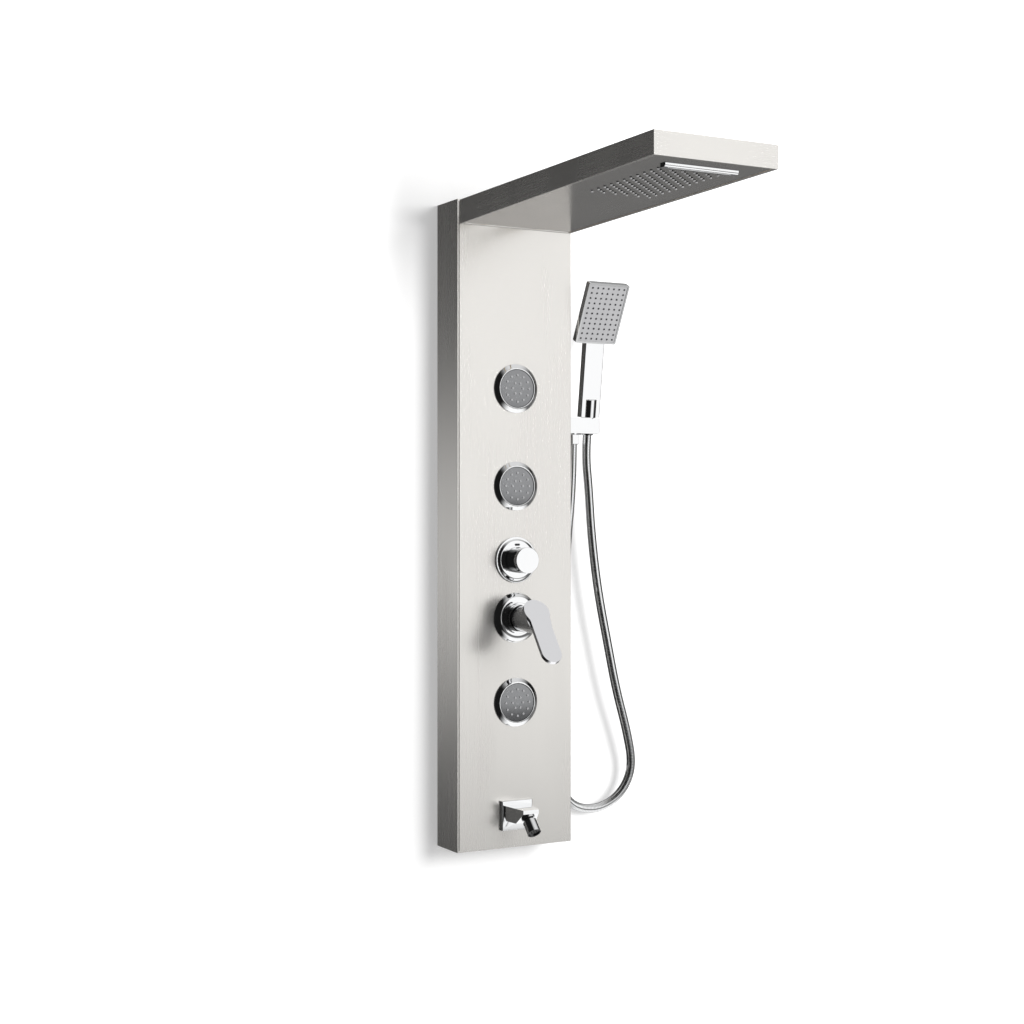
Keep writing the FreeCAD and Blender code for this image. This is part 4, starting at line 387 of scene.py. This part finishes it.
def spline_points(points, name):
    """The points of one smooth NURBS line through a route, as the evaluated curve gives them."""
    data = bpy.data.curves.new(name, "CURVE")
    data.dimensions = "3D"
    data.resolution_u = ROUTE_STEPS
    spline = data.splines.new("NURBS")
    spline.points.add(len(points) - 1)
    for point, place in zip(spline.points, points):
        point.co = (*place, 1)
    spline.order_u = ROUTE_ORDER
    spline.use_endpoint_u = True
    spline.resolution_u = ROUTE_STEPS
    curve = add_object(name, data)
    bpy.context.view_layer.update()
    evaluated = curve.evaluated_get(bpy.context.evaluated_depsgraph_get())
    mesh = bpy.data.meshes.new_from_object(evaluated)
    line = [tuple(curve.matrix_world @ vertex.co) for vertex in mesh.vertices]
    bpy.data.objects.remove(curve)
    bpy.data.meshes.remove(mesh)
    return np.array(line)


def arc_lengths(line):
    steps = np.linalg.norm(np.diff(line, axis=0), axis=1)
    return np.concatenate([[0.0], np.cumsum(steps)])


def points_at(line, distances):
    """The points at distances along a line of points, held at its ends."""
    arc = arc_lengths(line)
    return np.stack([np.interp(distances, arc, line[:, axis]) for axis in range(3)], axis=1)


def tube(name, line, distances, radii, sides):
    """A closed tube round a line, with a radius at each distance."""
    reach = HOSE_DIAMETER / 2
    ways = points_at(line, distances + reach) - points_at(line, distances - reach)
    ways = ways / np.linalg.norm(ways, axis=1, keepdims=True)
    side = np.cross(ways[0], (0, 1, 0))
    vertices, faces = [], []
    for place, way, radius in zip(points_at(line, distances), ways, radii):
        side = side - way * np.dot(side, way)
        side = side / np.linalg.norm(side)
        up = np.cross(way, side)
        for step in range(sides):
            turn = 2 * math.pi * step / sides
            vertices.append(place + radius * (math.cos(turn) * side + math.sin(turn) * up))
    rings = len(distances)
    for ring in range(rings - 1):
        for step in range(sides):
            a, b = ring * sides + step, ring * sides + (step + 1) % sides
            faces.append((a, b, b + sides, a + sides))
    faces.append(tuple(reversed(range(sides))))
    faces.append(tuple(range((rings - 1) * sides, rings * sides)))
    mesh = bpy.data.meshes.new(name)
    mesh.from_pydata([tuple(v) for v in vertices], [], faces)
    mesh.validate()
    mesh.shade_smooth()
    return add_object(name, mesh)


hose_line = spline_points(HOSE_ROUTE, "hose_route")
hose_length = arc_lengths(hose_line)[-1]
pitch = hose_length / RIBS
stations = [(pitch * (rib + share), part) for rib in range(RIBS) for share, part in RIB_PROFILE]
stations.append((hose_length, RIB_PROFILE[0][1]))
hose_distances = np.array([distance for distance, _ in stations])
hose_radii = [HOSE_DIAMETER / 2 * part for _, part in stations]
hose = tube("shower_hose", hose_line, hose_distances, hose_radii, HOSE_SIDES)
dress(hose, materials["polished"])
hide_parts("hose")
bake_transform(hose)


# ---------------------------------------------------------------- wall and floor
WALL_GAP = 0.0005                  # metres behind the column's back edges
FLOOR_LEVEL = -1.1
FAR = 30.0                         # how far the planes reach, metres
BACKDROP_WHITE = 0.85
COLUMN_HALF_WIDTH, COLUMN_HALF_HEIGHT = 0.101, 0.5
# The planes glow, so that they are white in the picture. They glow less near the column, where
# the photograph shows its shadow. Each row is a range in metres and the share or glow at its ends.
# The stronger glow away from the column, and higher up on its right, is painted light that washes
# out the shadows the arm and the hand shower cast there.
GLOW_AWAY = (0.05, 0.16, 0.22, 0.8)     # by the distance from the column, to the left, up or down
RIGHT_SIDE = (0.0, 0.1, 0.0, 1.0)       # by x, where the next row holds
RIGHT_GLOW = (0.08, 0.2, 0.36, 0.6)     # by height


def backdrop(name, corners):
    """A white plane that only the camera sees, and only from its front."""
    mesh = bpy.data.meshes.new(name)
    mesh.from_pydata(corners, [], [(0, 1, 2, 3)])
    obj = add_object(name, mesh)
    material = bpy.data.materials.new(name)
    graph = Graph(material)
    graph.nodes.remove(graph.nodes["Principled BSDF"])
    lit = graph.add("ShaderNodeBsdfDiffuse")
    graph.put([BACKDROP_WHITE] * 3, lit.inputs["Color"])
    place = graph.add("ShaderNodeSeparateXYZ")
    graph.link(graph.place(), place.inputs[0])
    x, z = place.outputs["X"], place.outputs["Z"]
    # painted light: the glow rises away from the column and higher up on its right, washing out
    # cast shadows there
    beside = graph.math("SUBTRACT", graph.math("MULTIPLY", x, -1.0), COLUMN_HALF_WIDTH)
    beyond = graph.math("SUBTRACT", graph.math("ABSOLUTE", z), COLUMN_HALF_HEIGHT)
    away = graph.span(graph.largest(beside, beyond), *GLOW_AWAY)
    right = graph.product(graph.span(x, *RIGHT_SIDE), graph.span(z, *RIGHT_GLOW))
    glow = graph.add("ShaderNodeEmission")
    graph.put((1, 1, 1), glow.inputs["Color"])
    graph.link(graph.largest(away, right), glow.inputs["Strength"])
    both = graph.add("ShaderNodeAddShader")
    graph.link(lit.outputs[0], both.inputs[0])
    graph.link(glow.outputs[0], both.inputs[1])
    clear = graph.add("ShaderNodeBsdfTransparent")
    choose = graph.add("ShaderNodeMixShader")
    behind = graph.add("ShaderNodeNewGeometry").outputs["Backfacing"]
    graph.link(behind, choose.inputs["Fac"])
    graph.link(both.outputs[0], choose.inputs[1])
    graph.link(clear.outputs[0], choose.inputs[2])
    graph.link(choose.outputs[0], graph.nodes["Material Output"].inputs["Surface"])
    obj.data.materials.append(material)
    for ray in ("diffuse", "glossy", "transmission", "shadow", "volume_scatter"):
        setattr(obj, "visible_" + ray, False)


backdrop("wall", [(-FAR, WALL_GAP, FLOOR_LEVEL), (FAR, WALL_GAP, FLOOR_LEVEL),
                  (FAR, WALL_GAP, FAR), (-FAR, WALL_GAP, FAR)])
backdrop("floor", [(-FAR, -FAR, FLOOR_LEVEL), (FAR, -FAR, FLOOR_LEVEL),
                   (FAR, FAR, FLOOR_LEVEL), (-FAR, FAR, FLOOR_LEVEL)])


# ---------------------------------------------------------------- light
KEY_PLACE, KEY_TARGET = (1.1, -3.2, 0.6), (0, -0.05, 0)
KEY_SIZE = 1.5                     # metres across
KEY_POWER = 82.0                   # watts

key_data = bpy.data.lights.new("key", "AREA")
key_data.shape = "DISK"
key_data.size = KEY_SIZE
key_data.energy = KEY_POWER
key = add_object("key", key_data)
key.location = KEY_PLACE
key_way = Vector(KEY_TARGET) - Vector(KEY_PLACE)
key.rotation_euler = key_way.to_track_quat("-Z", "Y").to_euler()
key.visible_glossy = False

# The world lights the part evenly, is white to the camera, and is a dark studio with bright
# patches to what mirrors it. Each row is a range of one part of the direction, and the share or
# strength at its ends. The part is along FRONT, sideways (x) or upwards (z), as the line uses it.
ROOM_LIGHT = 0.58                  # strength of the even light
FRONT = (0.484, -0.875, 0.0)       # where the column's front mirrors the camera's view
FRONT_PATCH = (0.55, 0.85, 0.0, 1.37)
FRONT_FOOT = (-0.235, -0.165, 0.15, 1.0)
FRONT_LEFT = (-0.06, 0.22)
FRONT_RIGHT = (0.88, 0.72)
UPRIGHT = (-0.40, 0.15)            # sideways, for the patches overhead and underfoot
TOP_PATCH = (0.40, 0.80, 0.0, 0.95)
LOW_PATCH = (-0.45, -0.72, 0.0, 1.4)
BACK_PATCH = (-0.75, -0.95)        # behind, for what looks back at the wall
BACK_FOOT, BACK_HEAD = (-0.16, -0.04), (0.12, -0.04)
BACK_STRENGTH = 0.95
UNDER_SIDE, UNDER_TOP = (0.0, 0.3), (-0.05, -0.15)
UNDER_STRENGTH = 0.18
STUDIO_DARK = 0.012

world = bpy.data.worlds.new("studio")
bpy.context.scene.world = world
sky = Graph(world)
sky.nodes.clear()
way = sky.add("ShaderNodeTexCoord").outputs["Generated"]
split = sky.add("ShaderNodeSeparateXYZ")
sky.link(way, split.inputs[0])
sideways, height = split.outputs["X"], split.outputs["Z"]
facing = sky.dot(way, FRONT)
front = sky.product(sky.span(facing, *FRONT_PATCH), sky.span(height, *FRONT_FOOT),
                    sky.span(sideways, *FRONT_LEFT), sky.span(sideways, *FRONT_RIGHT))
upright = sky.span(sideways, *UPRIGHT)
top = sky.product(sky.span(height, *TOP_PATCH), upright)
low = sky.product(sky.span(height, *LOW_PATCH), upright)
back = sky.product(sky.span(facing, *BACK_PATCH), sky.span(height, *BACK_FOOT),
                   sky.span(height, *BACK_HEAD), BACK_STRENGTH)
under = sky.product(sky.span(sideways, *UNDER_SIDE), sky.span(height, *UNDER_TOP), UNDER_STRENGTH)
mirrored = sky.largest(front, top, low, back, sky.math("ADD", STUDIO_DARK, under))


def background(strength):
    node = sky.add("ShaderNodeBackground")
    sky.put(strength, node.inputs["Strength"])
    return node.outputs[0]


rays = sky.add("ShaderNodeLightPath")
gloss = sky.add("ShaderNodeMixShader")
sky.link(rays.outputs["Is Glossy Ray"], gloss.inputs["Fac"])
sky.link(background(ROOM_LIGHT), gloss.inputs[1])
sky.link(background(mirrored), gloss.inputs[2])
seen = sky.add("ShaderNodeMixShader")
sky.link(rays.outputs["Is Camera Ray"], seen.inputs["Fac"])
sky.link(gloss.outputs[0], seen.inputs[1])
sky.link(background(1.0), seen.inputs[2])
sky.link(seen.outputs[0], sky.add("ShaderNodeOutputWorld").inputs["Surface"])

bpy.context.scene.view_settings.view_transform = "Standard"
